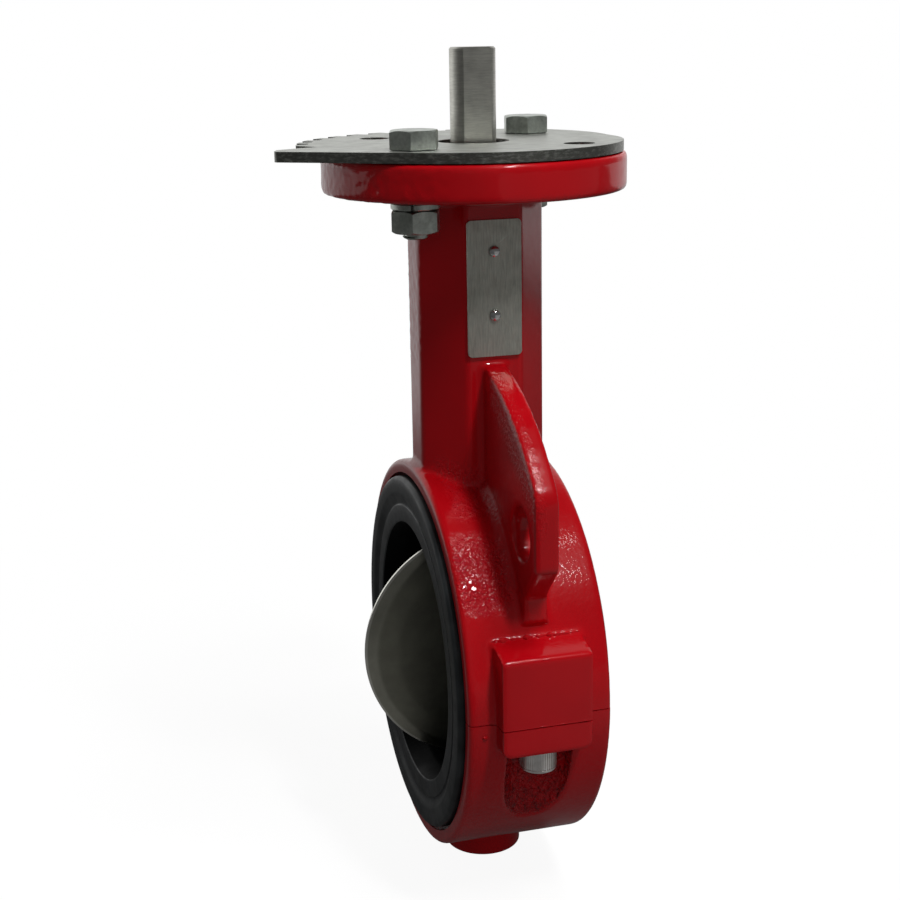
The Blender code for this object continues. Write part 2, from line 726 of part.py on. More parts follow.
def plate_outline():
    """Return the notch plate's outline, anticlockwise from where the tab's front edge leaves it."""
    tip = (TAB_REACH * math.cos(TAB_ANGLE), TAB_REACH * math.sin(TAB_ANGLE))
    tangent = TAB_ANGLE + math.acos(PLATE_RADIUS / TAB_REACH)
    points = []
    steps = 28
    start = tangent - math.tau
    for step in range(steps + 1):
        angle = start + (PLATE_BLEND_START - start) * step / steps
        points.append((PLATE_RADIUS * math.cos(angle), PLATE_RADIUS * math.sin(angle)))
    steps = 7
    for step in range(1, steps + 1):
        share = step / steps
        radius = PLATE_RADIUS + (PLATE_SECTOR_RADIUS - PLATE_RADIUS) * share
        angle = PLATE_BLEND_START + (PLATE_SECTOR_START - PLATE_BLEND_START) * share
        points.append((radius * math.cos(angle), radius * math.sin(angle)))
    half = PLATE_NOTCH_WIDTH / 2
    floor = PLATE_SECTOR_RADIUS - PLATE_NOTCH_DEPTH
    lead = (PLATE_SECTOR_START + PLATE_FIRST_NOTCH) / 2
    points.append((PLATE_SECTOR_RADIUS * math.cos(lead), PLATE_SECTOR_RADIUS * math.sin(lead)))
    for notch in range(PLATE_NOTCHES):
        angle = PLATE_FIRST_NOTCH + notch * PLATE_NOTCH_PITCH
        mouth = half / PLATE_SECTOR_RADIUS
        inner = half * 0.7 / floor
        for turn, radius in (
            (angle - mouth, PLATE_SECTOR_RADIUS),
            (angle - inner, floor),
            (angle + inner, floor),
            (angle + mouth, PLATE_SECTOR_RADIUS),
        ):
            points.append((radius * math.cos(turn), radius * math.sin(turn)))
    for turn, radius in ((PLATE_SECTOR_END, PLATE_SECTOR_RADIUS), (TAB_ROOT_ANGLE, TAB_ROOT_RADIUS)):
        points.append((radius * math.cos(turn), radius * math.sin(turn)))
    back = (tip[0] - TAB_END_WIDTH, tip[1] + TAB_END_WIDTH / 3)
    corners = [(*points[-1], 0), (*back, TAB_ROUND), (*tip, TAB_ROUND), (*points[0], 0)]
    return points + rounded(corners)[1:-1]


def notch_plate():
    """Make the notched plate that lies on the top flange."""
    outlines = [plate_outline(), circle(0, 0, PLATE_CENTRE_RADIUS)]
    for x_side in (1, -1):
        for y_side in (1, -1):
            place = (x_side * BOLT_PLACE, y_side * BOLT_PLACE)
            outlines.append(circle(*place, FLANGE_HOLE_RADIUS))
    plate = slab("notch plate blank", outlines, PLATE_THICKNESS)
    moved(plate, z=(PLATE_FOOT + PLATE_TOP) / 2)
    return make_part(plate, "notch_plate", ZINC)


def hexagon(name, foot, top, chamfer_foot, chamfer_top):
    """Return a hexagon with turned chamfers on its corners."""
    corner = HEX_FLATS / 2 / math.cos(math.pi / 6)
    flat = HEX_FLATS / 2
    blank = rod(name, corner, foot, top, 6)
    profile = [(0, top)]
    if chamfer_top:
        profile += [(flat, top), (corner + CLEARANCE, top - HEX_CHAMFER)]
    else:
        profile += [(corner + CLEARANCE, top)]
    if chamfer_foot:
        profile += [(corner + CLEARANCE, foot + HEX_CHAMFER), (flat, foot)]
    else:
        profile += [(corner + CLEARANCE, foot)]
    profile.append((0, foot))
    boolean(blank, [turned(f"{name} chamfer", profile, False, HOLE_SIDES)], "INTERSECT")
    return blank


def plate_fasteners(which, x, y, turn):
    """Make one plate bolt, with its lock washer and nut."""
    head_foot = PLATE_TOP + CLEARANCE
    washer_top = FLANGE_FOOT - CLEARANCE
    washer_foot = washer_top - WASHER_THICKNESS
    nut_top = washer_foot - CLEARANCE
    nut_foot = nut_top - NUT_HEIGHT
    end = nut_foot - BOLT_TIP
    head = hexagon(f"{which} head", head_foot, head_foot + PLATE_BOLT_HEAD_HEIGHT, False, True)
    rim = PLATE_BOLT_RADIUS - BOLT_TIP_EDGE
    top = head_foot + PLATE_BOLT_HEAD_HEIGHT / 2
    profile = [(0, top), (PLATE_BOLT_RADIUS, top), (PLATE_BOLT_RADIUS, end + BOLT_TIP_EDGE)]
    profile += [(rim, end), (0, end)]
    join(head, turned(f"{which} shank", profile, False, HOLE_SIDES))
    stand(head, x, y, turn)
    make_part(head, f"plate_bolt_{which}", ZINC)
    inner = PLATE_BOLT_RADIUS + CLEARANCE
    ring = [
        (WASHER_RADIUS, washer_top),
        (WASHER_RADIUS, washer_foot),
        (inner, washer_foot),
        (inner, washer_top),
    ]
    washer = turned(f"{which} washer", ring, True, STEM_SIDES)
    low = (0, -WASHER_SLIT / 2, washer_foot - OVERRUN)
    high = (WASHER_RADIUS + OVERRUN, WASHER_SLIT / 2, washer_top + OVERRUN)
    cut(washer, box(f"{which} slit", low, high))
    stand(washer, x, y, turn)
    make_part(washer, f"lock_washer_{which}", ZINC)
    nut = hexagon(f"{which} nut", nut_foot, nut_top, True, True)
    cut(nut, rod(f"{which} nut bore", NUT_BORE_RADIUS, nut_foot - OVERRUN, nut_top + OVERRUN))
    stand(nut, x, y, turn)
    make_part(nut, f"plate_nut_{which}", ZINC)


def body_bolt(part_name, side):
    """Make one cap screw that draws the lower body up to the upper one."""
    head_top = -LOWER_LUG_DEPTH - CLEARANCE
    head_foot = head_top - BODY_BOLT_HEAD_HEIGHT
    top = head_top + BODY_BOLT_LENGTH - CLEARANCE
    rim = BODY_BOLT_HEAD_RADIUS - BODY_BOLT_HEAD_EDGE
    profile = [
        (0, top),
        (BODY_BOLT_RADIUS, top),
        (BODY_BOLT_RADIUS, head_top),
        (BODY_BOLT_HEAD_RADIUS, head_top),
        (BODY_BOLT_HEAD_RADIUS, head_foot + BODY_BOLT_HEAD_EDGE),
        (rim, head_foot),
        (0, head_foot),
    ]
    bolt = turned(f"{part_name} blank", profile, False, STEM_SIDES)
    corner = BODY_BOLT_SOCKET_FLATS / 2 / math.cos(math.pi / 6)
    socket_top = head_foot + BODY_BOLT_SOCKET_DEPTH
    cut(bolt, rod(f"{part_name} socket", corner, head_foot - OVERRUN, socket_top, 6))
    stand(bolt, side * BODY_BOLT_PLACE, 0)
    return make_part(bolt, part_name, ZINC)


def nameplate():
    """Make the bare plate on the neck, with its two drive pins."""
    half_width = NAMEPLATE_WIDTH / 2
    half_height = NAMEPLATE_HEIGHT / 2
    corners = [
        (-half_width, -half_height, NAMEPLATE_ROUND),
        (half_width, -half_height, NAMEPLATE_ROUND),
        (half_width, half_height, NAMEPLATE_ROUND),
        (-half_width, half_height, NAMEPLATE_ROUND),
    ]
    outlines = [rounded(corners)]
    for offset in PIN_OFFSETS:
        outlines.append(circle(0, offset, PIN_RADIUS + CLEARANCE, SMALL_SIDES))
    plate = slab("nameplate blank", outlines, NAMEPLATE_THICKNESS)
    turned_by(plate, math.radians(90), "X")
    turned_by(plate, math.radians(90), "Z")
    foot = NECK_HALF_WIDTH + CLEARANCE
    moved(plate, foot + NAMEPLATE_THICKNESS / 2, 0, NAMEPLATE_MIDDLE)
    make_part(plate, "nameplate", BARE_PLATE)
    head_foot = foot + NAMEPLATE_THICKNESS + CLEARANCE
    for part_name, offset in zip(("nameplate_pin_upper", "nameplate_pin_lower"), PIN_OFFSETS):
        dome = [(0, PIN_HEAD_HEIGHT)]
        for step in range(1, ARC_STEPS + 1):
            angle = math.radians(90) * step / ARC_STEPS
            dome.append((PIN_HEAD_RADIUS * math.sin(angle), PIN_HEAD_HEIGHT * math.cos(angle)))
        end = -PIN_LENGTH + CLEARANCE
        profile = dome + [(PIN_RADIUS, 0), (PIN_RADIUS, end), (0, end)]
        pin = turned(f"{part_name} blank", profile, False, SMALL_SIDES)
        turned_by(pin, math.radians(90), "Y")
        moved(pin, head_foot, 0, NAMEPLATE_MIDDLE + offset)
        make_part(pin, part_name, BARE_PLATE)


clear_scene()
PARTS = new_collection("Wafer butterfly valve")
HELPERS = new_collection("Cutters and blanks")
RED_PAINT = finish("Red paint", (0.45, 0.006, 0.010), 0.30, 0.0)
RUBBER = finish("Black rubber", (0.035, 0.042, 0.045), 0.50, 0.0)
STEEL = finish("Stainless steel", (0.46, 0.45, 0.41), 0.38, 1.0)
ZINC = finish("Zinc plated steel", (0.52, 0.54, 0.52), 0.42, 1.0)
BARE_PLATE = finish("Bare plate", (0.40, 0.41, 0.40), 0.45, 1.0)
BUSH_METAL = finish("Bush bronze", (0.50, 0.36, 0.18), 0.45, 1.0)

nameplate()
notch_plate()
plate_fasteners("front", BOLT_PLACE, -BOLT_PLACE, FRONT_HEX_TURN)
plate_fasteners("rear", -BOLT_PLACE, BOLT_PLACE, REAR_HEX_TURN)
body_bolt("body_bolt_near", 1)
body_bolt("body_bolt_far", -1)
sleeve("upper bush blank", "upper_bushing", UPPER_BUSH_FOOT, UPPER_BUSH_LENGTH, BUSH_METAL)
stem_seal()
sleeve("lower bush blank", "lower_bushing", -STUB_FOOT, LOWER_BUSH_LENGTH, BUSH_METAL)
disc_stem()
seat()
lower_body()
upper_body()
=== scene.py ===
"""Looks of a DN 80 wafer butterfly valve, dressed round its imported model.

Metres, +Z up along the stem, the flow along Y, and the nameplate towards +X. The origin is the centre of
the disc. Each sub-assembly is a class that builds its own pieces and dresses them.
"""

from __future__ import annotations

import logging
import math
from dataclasses import dataclass, field
from enum import Enum
from typing import Callable, Iterable, Sequence

import bmesh
import bpy
from mathutils import Matrix, Vector, noise

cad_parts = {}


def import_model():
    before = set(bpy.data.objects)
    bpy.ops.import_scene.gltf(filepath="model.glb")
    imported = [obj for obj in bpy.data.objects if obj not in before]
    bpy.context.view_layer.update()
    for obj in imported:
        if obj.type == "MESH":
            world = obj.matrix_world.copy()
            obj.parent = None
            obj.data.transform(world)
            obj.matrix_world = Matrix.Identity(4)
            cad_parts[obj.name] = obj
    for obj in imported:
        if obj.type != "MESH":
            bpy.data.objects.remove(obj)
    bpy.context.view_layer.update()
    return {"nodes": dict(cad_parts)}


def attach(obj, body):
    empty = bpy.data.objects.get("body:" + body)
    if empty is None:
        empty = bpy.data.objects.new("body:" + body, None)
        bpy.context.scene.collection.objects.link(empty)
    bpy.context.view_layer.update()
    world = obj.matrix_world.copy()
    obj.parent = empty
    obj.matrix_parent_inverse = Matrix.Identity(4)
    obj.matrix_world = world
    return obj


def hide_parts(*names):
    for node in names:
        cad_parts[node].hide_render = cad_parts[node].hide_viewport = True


LOG = logging.getLogger("valve")
MM = 0.001
GAP = 0.3 * MM
OVERRUN = 2.0 * MM
FINE_SIDES = 192
ROUND_SIDES = 96
SMALL_SIDES = 48
HEX_SIDES = 6
FINE_FACET = 6
COARSE_FACET = 15
BEAD_SIDES = 8
BEAD_LUMP = 2.2 * MM
BEAD_RIPPLE = 0.9 * MM

Point = tuple[float, float]
Corner = tuple[float, float, float]
Profile = Sequence[Point]
Colour = tuple[float, float, float, float]
Socket = bpy.types.NodeSocket
Shape = bpy.types.Object


def eased(value: float, start: float, end: float) -> float:
    """Return 0 before the start, 1 after the end, and a smooth step between them."""
    share = min(1.0, max(0.0, (value - start) / (end - start)))
    return share * share * (3 - 2 * share)


def spread(start: float, end: float, count: int) -> list[float]:
    """Return evenly spaced numbers from start to end."""
    return [start + (end - start) * index / (count - 1) for index in range(count)]


class Axis(Enum):
    """The frame's axes that a turned shape or a prism may stand on."""

    X = "X"
    Y = "Y"
    Z = "Z"


class Step(Enum):
    """What a Boolean step does."""

    JOIN = "UNION"
    CUT = "DIFFERENCE"
    TRIM = "INTERSECT"


class Slot(Enum):
    """The record's material slots, each passed along with a dressed piece."""

    PAINT = "red_paint"
    RUBBER = "black_rubber"
    STAINLESS = "stainless_steel"
    ZINC = "zinc_steel"
    PLATE = "bare_plate"


class Tree:
    """A shader node tree, with short ways to add and link its nodes."""

    def __init__(self, tree: bpy.types.NodeTree) -> None:
        """Take the tree that the nodes go into."""
        self.tree = tree

    def node(self, kind: str, inputs: dict, **settings: object) -> bpy.types.Node:
        """Add a node.

        Args:
            kind: the node's type, without the ShaderNode prefix.
            inputs: a value or an output socket for each input, by name or number.
            settings: the node's own settings.

        Returns:
            The new node.
        """
        made = self.tree.nodes.new(f"ShaderNode{kind}")
        for key, value in settings.items():
            setattr(made, key, value)
        for key, value in inputs.items():
            self.feed(made.inputs[key], value)
        return made

    def feed(self, socket: Socket, value: object) -> None:
        """Link a socket to an output, or give it a plain value.

        Args:
            socket: the input.
            value: an output socket or a plain value.
        """
        if isinstance(value, Socket):
            self.tree.links.new(value, socket)
        else:
            socket.default_value = value

    def place(self, scale: Sequence[float] = (1, 1, 1)) -> Socket:
        """Return the object coordinates, stretched by a scale for each axis."""
        where = self.node("TexCoord", {}).outputs["Object"]
        return self.node("Mapping", {"Vector": where, "Scale": tuple(scale)}).outputs["Vector"]

    def noise(self, where: Socket, scale: float, detail: float = 3, rough: float = 0.5) -> Socket:
        """Return the value of a noise pattern.

        Args:
            where: the coordinates that the pattern reads.
            scale: how many features there are to the metre.
            detail: how many finer layers it has.
            rough: how strong the finer layers are.

        Returns:
            The pattern's output socket, from 0 to 1.
        """
        inputs = {"Vector": where, "Scale": scale, "Detail": detail, "Roughness": rough}
        return self.node("TexNoise", inputs).outputs["Fac"]

    def ramp(self, value: Socket, low: float, high: float, first: float = 0, last: float = 1) -> Socket:
        """Map a value from one range to another, clamped and eased.

        Args:
            value: what is mapped.
            low: where the result is the first.
            high: where it is the last.
            first: the result up to low.
            last: the result from high on.

        Returns:
            The result's socket.
        """
        inputs = {"Value": value, "From Min": low, "From Max": high, "To Min": first, "To Max": last}
        made = self.node("MapRange", inputs, interpolation_type="SMOOTHSTEP")
        return made.outputs["Result"]

    def math(self, operation: str, first: object, second: object = 0.0) -> Socket:
        """Return the result of one sum on two values or sockets."""
        return self.node("Math", {0: first, 1: second}, operation=operation).outputs[0]

    def mix(self, share: object, first: object, second: object) -> Socket:
        """Blend two colours by a share.

        Args:
            share: how much of the second colour there is.
            first: a colour or its socket.
            second: the other colour or its socket.

        Returns:
            The blend's socket.
        """
        inputs = {"Factor": share, "A": first, "B": second}
        made = self.tree.nodes.new("ShaderNodeMix")
        made.data_type = "RGBA"
        for name, value in inputs.items():
            socket = next(s for s in made.inputs if s.name == name and s.enabled)
            self.feed(socket, value)
        return next(s for s in made.outputs if s.enabled)

    def bump(self, height: object, distance: float, strength: float = 1.0, normal: object = None) -> Socket:
        """Return a normal that follows a height pattern, on top of another one if given.

        Args:
            height: the pattern.
            distance: how high it stands.
            strength: how clearly it shows.
            normal: the normal that it is laid on.

        Returns:
            The normal's socket.
        """
        inputs = {"Height": height, "Distance": distance, "Strength": strength}
        if normal is not None:
            inputs["Normal"] = normal
        return self.node("Bump", inputs).outputs["Normal"]


class Graph(Tree):
    """The node tree of one material."""

    def __init__(self, name: str) -> None:
        """Start a material that holds only its Principled shader.

        Args:
            name: the material's name.
        """
        self.material = bpy.data.materials.new(name)
        self.material.use_nodes = True
        super().__init__(self.material.node_tree)
        self.shader = self.tree.nodes["Principled BSDF"]

    def finish(self, **inputs: object) -> bpy.types.Material:
        """Set the shader's inputs by name, with underscores for spaces, and return the material.

        Args:
            inputs: a value or an output socket for each input.

        Returns:
            The material.
        """
        for key, value in inputs.items():
            self.feed(self.shader.inputs[key.replace("_", " ")], value)
        return self.material


def grey(level: float, warmth: float = 0.0) -> Colour:
    """Return a grey, a little warmer or colder where asked."""
    return (level * (1 + warmth), level, level * (1 - warmth), 1.0)


@dataclass(frozen=True)
class CastPaint:
    """Glossy red paint over cast iron, with orange peel and the sand's grain under it."""

    deep: Colour = (0.36, 0.0010, 0.0040, 1)
    bright: Colour = (0.45, 0.0015, 0.0055, 1)
    # painted shade and dirt: the dark red that the bolt pockets are specked with
    pocket_shade_and_dirt: Colour = (0.17, 0.0010, 0.0030, 1)
    peel_per_metre: float = 420
    peel_depth: float = 0.012 * MM
    grain_per_metre: float = 820
    grain_depth: float = 0.34 * MM
    wave_per_metre: float = 120
    wave_depth: float = 0.16 * MM
    wave_strength: float = 0.18
    cloud_per_metre: float = 28
    spots_per_metre: float = 520
    rub_per_metre: float = 260
    rough: Point = (0.28, 0.36)
    coat: float = 0.6
    coat_rough: float = 0.05
    shine: float = 0.08

    def material(self) -> bpy.types.Material:
        """Return the paint.

        The mesh's cast attribute says where the sand's grain shows, and its pit attribute marks the bolt
        pockets, whose dark specks are painted shade in the recess, together with dirt.

        Returns:
            The material.
        """
        graph = Graph("red paint")
        where = graph.place()
        cast = graph.node("Attribute", {}, attribute_name="cast").outputs["Fac"]
        pit = graph.node("Attribute", {}, attribute_name="pit").outputs["Fac"]
        peel = graph.noise(where, self.peel_per_metre, 2)
        broad = graph.noise(where, self.wave_per_metre, 2)
        grain = graph.noise(where, self.grain_per_metre, 3, 0.55)
        lumps = graph.ramp(grain, 0.38, 0.66)
        first = graph.bump(peel, self.peel_depth)
        second = graph.bump(graph.math("MULTIPLY", lumps, cast), self.grain_depth, 1.0, first)
        waves = graph.bump(broad, self.wave_depth, self.wave_strength, second)
        tone = graph.ramp(graph.noise(where, self.cloud_per_metre, 2), 0.25, 0.75)
        clean = graph.mix(tone, self.deep, self.bright)
        spots = graph.ramp(graph.noise(where, self.spots_per_metre, 4, 0.65), 0.40, 0.68)
        # painted shade and dirt: dark specks inside the bolt pockets only
        colour = graph.mix(graph.math("MULTIPLY", spots, pit), clean, self.pocket_shade_and_dirt)
        rough = graph.ramp(graph.noise(where, self.rub_per_metre, 3), 0.3, 0.7, *self.rough)
        return graph.finish(
            Base_Color=colour,
            Roughness=rough,
            Normal=waves,
            Coat_Weight=self.coat,
            Coat_Roughness=self.coat_rough,
            Coat_Normal=waves,
            Specular_IOR_Level=self.shine,
        )


@dataclass(frozen=True)
class SeatRubber:
    """Moulded black rubber with a satin bloom."""

    name: str = "black rubber"
    dark: Colour = (0.0070, 0.0085, 0.0095, 1)
    bloom: Colour = (0.023, 0.026, 0.028, 1)
    shine: float = 0.34
    cloud_per_metre: float = 90
    skin_per_metre: float = 2600
    skin_depth: float = 0.02 * MM
    rub_per_metre: float = 140
    rough: Point = (0.34, 0.50)

    def material(self) -> bpy.types.Material:
        """Return the rubber.

        Returns:
            The material.
        """
        graph = Graph(self.name)
        where = graph.place()
        cloud = graph.ramp(graph.noise(where, self.cloud_per_metre, 4), 0.35, 0.7)
        fine = graph.noise(where, self.skin_per_metre, 2)
        colour = graph.mix(cloud, self.dark, self.bloom)
        rough = graph.ramp(graph.noise(where, self.rub_per_metre, 4), 0.3, 0.7, *self.rough)
        return graph.finish(
            Base_Color=colour,
            Roughness=rough,
            Normal=graph.bump(fine, self.skin_depth, 0.6),
            Specular_IOR_Level=self.shine,
        )


@dataclass(frozen=True)
class DiscSteel:
    """Satin cast stainless steel, with a brighter band turned round the disc's rim, and a near-white painted
    highlight along the rim's polished edge.
    """

    face: Colour = (0.36, 0.357, 0.292, 1)
    band: Colour = (0.47, 0.465, 0.390, 1)
    # painted highlight: the near-white colour of the rim's polished edge
    edge: Colour = (0.85, 0.84, 0.76, 1)
    band_start: float = 33.8 * MM
    band_end: float = 35.6 * MM
    rim_highlight_start: float = 37.7 * MM
    rim_highlight_end: float = 38.2 * MM
    blotch_per_metre: float = 160
    satin_per_metre: float = 1500
    satin_depth: float = 0.020 * MM
    turning_per_metre: float = 900
    turning_depth: float = 0.010 * MM
    rough_face: float = 0.44
    rough_band: float = 0.30

    def material(self) -> bpy.types.Material:
        """Return the steel. The band and the painted highlight on the rim's edge follow the distance from the
        disc's own axis.

        Returns:
            The material.
        """
        graph = Graph("disc steel")
        where = graph.node("TexCoord", {}).outputs["Object"]
        flat = graph.node("Mapping", {"Vector": where, "Scale": (0, 1, 1)}).outputs["Vector"]
        reach = graph.node("VectorMath", {0: flat}, operation="LENGTH").outputs["Value"]
        band = graph.ramp(reach, self.band_start, self.band_end)
        blotch = graph.ramp(graph.noise(where, self.blotch_per_metre, 4), 0.3, 0.75, 0.92, 1.08)
        satin = graph.noise(where, self.satin_per_metre, 3)
        outwards = graph.node("CombineXYZ", {"X": reach}).outputs[0]
        wave = {"Vector": outwards, "Scale": self.turning_per_metre, "Distortion": 0.6}
        turning = graph.node("TexWave", wave).outputs["Fac"]
        colour = graph.mix(band, self.face, self.band)
        # painted highlight: a near-white line along the rim's edge
        colour = graph.mix(graph.ramp(reach, self.rim_highlight_start, self.rim_highlight_end), colour, self.edge)
        toned = graph.node("HueSaturation", {"Color": colour, "Value": blotch}).outputs["Color"]
        height = graph.math("MULTIPLY", turning, band)
        cast = graph.bump(satin, self.satin_depth, 0.6)
        normal = graph.bump(height, self.turning_depth, 0.5, cast)
        rough = graph.ramp(band, 0, 1, self.rough_face, self.rough_band)
        return graph.finish(Base_Color=toned, Roughness=rough, Metallic=1.0, Normal=normal)


@dataclass(frozen=True)
class MilledSteel:
    """Machined metal with fine cutter lines in one direction and a few darker stains."""

    name: str
    tone: Colour
    stain: Colour
    lines: Corner = (1, 1, 14)
    line_depth: float = 0.012 * MM
    rough: Point = (0.28, 0.42)
    lines_per_metre: float = 240
    stains_per_metre: float = 130
    rub_per_metre: float = 300

    def material(self) -> bpy.types.Material:
        """Return the metal.

        Returns:
            The material.
        """
        graph = Graph(self.name)
        along = graph.place(self.lines)
        where = graph.place()
        cut = graph.noise(along, self.lines_per_metre, 4, 0.6)
        stains = graph.ramp(graph.noise(where, self.stains_per_metre, 5, 0.6), 0.42, 0.72)
        streak = graph.ramp(cut, 0.3, 0.7, 0.88, 1.12)
        colour = graph.mix(stains, self.tone, self.stain)
        toned = graph.node("HueSaturation", {"Color": colour, "Value": streak}).outputs["Color"]
        rough = graph.ramp(graph.noise(where, self.rub_per_metre, 4), 0.3, 0.7, *self.rough)
        normal = graph.bump(cut, self.line_depth, 0.8)
        return graph.finish(Base_Color=toned, Roughness=rough, Metallic=1.0, Normal=normal)


@dataclass(frozen=True)
class ShearedShadedSteel:
    """The plate's sheared sides, darker than its top: the torn edge's own dull tone together with painted
    shade, with brighter specks in it.
    """

    # painted shade, together with the torn edge's own tone: the sides' darker grey
    dark: Colour = (0.21, 0.215, 0.195, 1)
    bright: Colour = (0.46, 0.47, 0.43, 1)
    depth: float = 0.06 * MM
    rough: float = 0.36
    stretch: Corner = (0.5, 0.5, 1.6)
    specks_per_metre: float = 900

    def material(self) -> bpy.types.Material:
        """Return the metal.

        Returns:
            The material.
        """
        graph = Graph("sheared steel")
        specks = graph.noise(graph.place(self.stretch), self.specks_per_metre, 4, 0.7)
        torn = graph.ramp(specks, 0.44, 0.72)
        return graph.finish(
            Base_Color=graph.mix(torn, self.dark, self.bright),
            Roughness=self.rough,
            Metallic=1.0,
            Normal=graph.bump(torn, self.depth, 0.8),
        )


class Finishes:
    """All the materials of the valve, made once."""

    def __init__(self) -> None:
        """Make each material."""
        self.paint = CastPaint().material()
        self.rubber = SeatRubber().material()
        # painted shade: a near-black, barely shiny copy of the rubber for the throat, where the bore lies in
        # shade
        self.throat = SeatRubber(
            name="shaded throat rubber",
            dark=(0.0020, 0.0022, 0.0024, 1),
            bloom=(0.0035, 0.0038, 0.0040, 1),
            shine=0.03,
        ).material()
        self.sheared_shaded = ShearedShadedSteel().material()
        self.disc = DiscSteel().material()
        self.stem = MilledSteel(
            name="stem steel",
            tone=(0.60, 0.595, 0.54, 1),
            stain=(0.50, 0.495, 0.45, 1),
            lines=(1, 1, 12),
            rough=(0.30, 0.38),
            lines_per_metre=260,
        ).material()
        self.plate = MilledSteel(
            name="plate steel",
            tone=(0.60, 0.615, 0.57, 1),
            stain=(0.50, 0.51, 0.475, 1),
            lines=(9, 1.5, 9),
            line_depth=0.02 * MM,
            rough=(0.42, 0.52),
            lines_per_metre=110,
        ).material()
        self.bolt = MilledSteel(
            name="bolt zinc",
            tone=(0.56, 0.60, 0.55, 1),
            stain=(0.38, 0.41, 0.37, 1),
            lines=(2, 2, 2),
            line_depth=0.02 * MM,
            lines_per_metre=420,
        ).material()
        self.screw = MilledSteel(
            name="screw steel",
            tone=grey(0.90, 0.03),
            stain=grey(0.72, 0.05),
            lines=(1, 1, 1),
        ).material()
        self.tag = MilledSteel(
            name="tag steel",
            tone=(0.62, 0.63, 0.56, 1),
            stain=(0.53, 0.54, 0.475, 1),
            lines=(1, 10, 1),
            line_depth=0.006 * MM,
            rough=(0.46, 0.56),
            lines_per_metre=200,
        ).material()
        self.pin = MilledSteel(
            name="pin steel",
            tone=grey(0.75),
            stain=grey(0.5),
            lines=(1, 1, 1),
            line_depth=0.004 * MM,
            rough=(0.12, 0.22),
        ).material()
        self.bronze = MilledSteel(
            name="bush bronze",
            tone=(0.52, 0.36, 0.17, 1),
            stain=(0.36, 0.24, 0.12, 1),
        ).material()


def linked(name: str, data: bpy.types.ID) -> Shape:
    """Return a new object of the scene that holds a mesh, a curve, a lamp or a camera.

    Args:
        name: the object's name.
        data: what it holds.

    Returns:
        The object, at the origin.
    """
    made = bpy.data.objects.new(name, data)
    bpy.context.scene.collection.objects.link(made)
    return made


def as_object(name: str, shape: bmesh.types.BMesh, outwards: bool = True) -> Shape:
    """Turn a bmesh into an object at the origin.

    Args:
        name: the object's name.
        shape: the bmesh, which is freed.
        outwards: whether its faces are made to point out.

    Returns:
        The object.
    """
    if outwards:
        bmesh.ops.recalc_face_normals(shape, faces=shape.faces)
    mesh = bpy.data.meshes.new(name)
    shape.to_mesh(mesh)
    shape.free()
    return linked(name, mesh)


def drop(item: Shape) -> None:
    """Remove an object that isn't needed any more."""
    bpy.data.objects.remove(item, do_unlink=True)


def settled(item: Shape) -> Shape:
    """Replace an object's mesh by its evaluated one, and drop the modifiers.

    Args:
        item: the object.

    Returns:
        The same object, with a plain mesh.
    """
    bpy.context.view_layer.update()
    graph = bpy.context.evaluated_depsgraph_get()
    mesh = bpy.data.meshes.new_from_object(item.evaluated_get(graph))
    item.modifiers.clear()
    item.data = mesh
    return item


def turned_by(item: Shape, angle: float, axis: Axis) -> Shape:
    """Turn a shape about one of the frame's axes, in its mesh."""
    item.data.transform(Matrix.Rotation(angle, 4, axis.value))
    return item


def moved(item: Shape, x: float = 0, y: float = 0, z: float = 0) -> Shape:
    """Shift a shape, in its mesh."""
    item.data.transform(Matrix.Translation((x, y, z)))
    return item


def mirrored(item: Shape, name: str) -> Shape:
    """Return a copy of a shape on the other side of the YZ plane.

    Args:
        item: the shape on the +X side.
        name: the copy's name.

    Returns:
        The copy.
    """
    mesh = item.data.copy()
    mesh.transform(Matrix.Scale(-1, 4, (1, 0, 0)))
    mesh.flip_normals()
    return linked(name, mesh)


def laid(item: Shape, axis: Axis) -> Shape:
    """Lay an upright shape along another axis: its top then points to +X, or to -Y.

    Args:
        item: the upright shape.
        axis: the axis that it is laid along.

    Returns:
        The same object.
    """
    if axis is Axis.Y:
        return turned_by(item, math.pi / 2, Axis.X)
    if axis is Axis.X:
        return turned_by(item, math.pi / 2, Axis.Y)
    return item


def turned(name: str, profile: Profile, sides: int = FINE_SIDES, closed: bool = False) -> Shape:
    """Return a shape turned about the Z axis.

    Args:
        name: the object's name.
        profile: (radius, height) points; an open one starts and ends on the axis.
        sides: how many facets there are round the axis.
        closed: whether the last point joins the first, as in a ring.

    Returns:
        The closed shape.
    """
    shape = bmesh.new()
    rings = []
    for radius, height in profile:
        if radius == 0:
            rings.append([shape.verts.new((0, 0, height))])
            continue
        turns = [math.tau * side / sides for side in range(sides)]
        rings.append([shape.verts.new((radius * math.cos(t), radius * math.sin(t), height)) for t in turns])
    pairs = list(zip(rings, rings[1:]))
    if closed:
        pairs.append((rings[-1], rings[0]))
    for above, below in pairs:
        for side in range(sides):
            after = (side + 1) % sides
            corners = [above[side % len(above)], above[after % len(above)]]
            corners += [below[after % len(below)], below[side % len(below)]]
            unique = list(dict.fromkeys(corners))
            shape.faces.new(unique)
    return as_object(name, shape)


def rod(name: str, radius: float, foot: float, top: float, sides: int = SMALL_SIDES) -> Shape:
    """Return an upright cylinder, or a prism with a corner towards X."""
    return turned(name, [(0, top), (radius, top), (radius, foot), (0, foot)], sides)


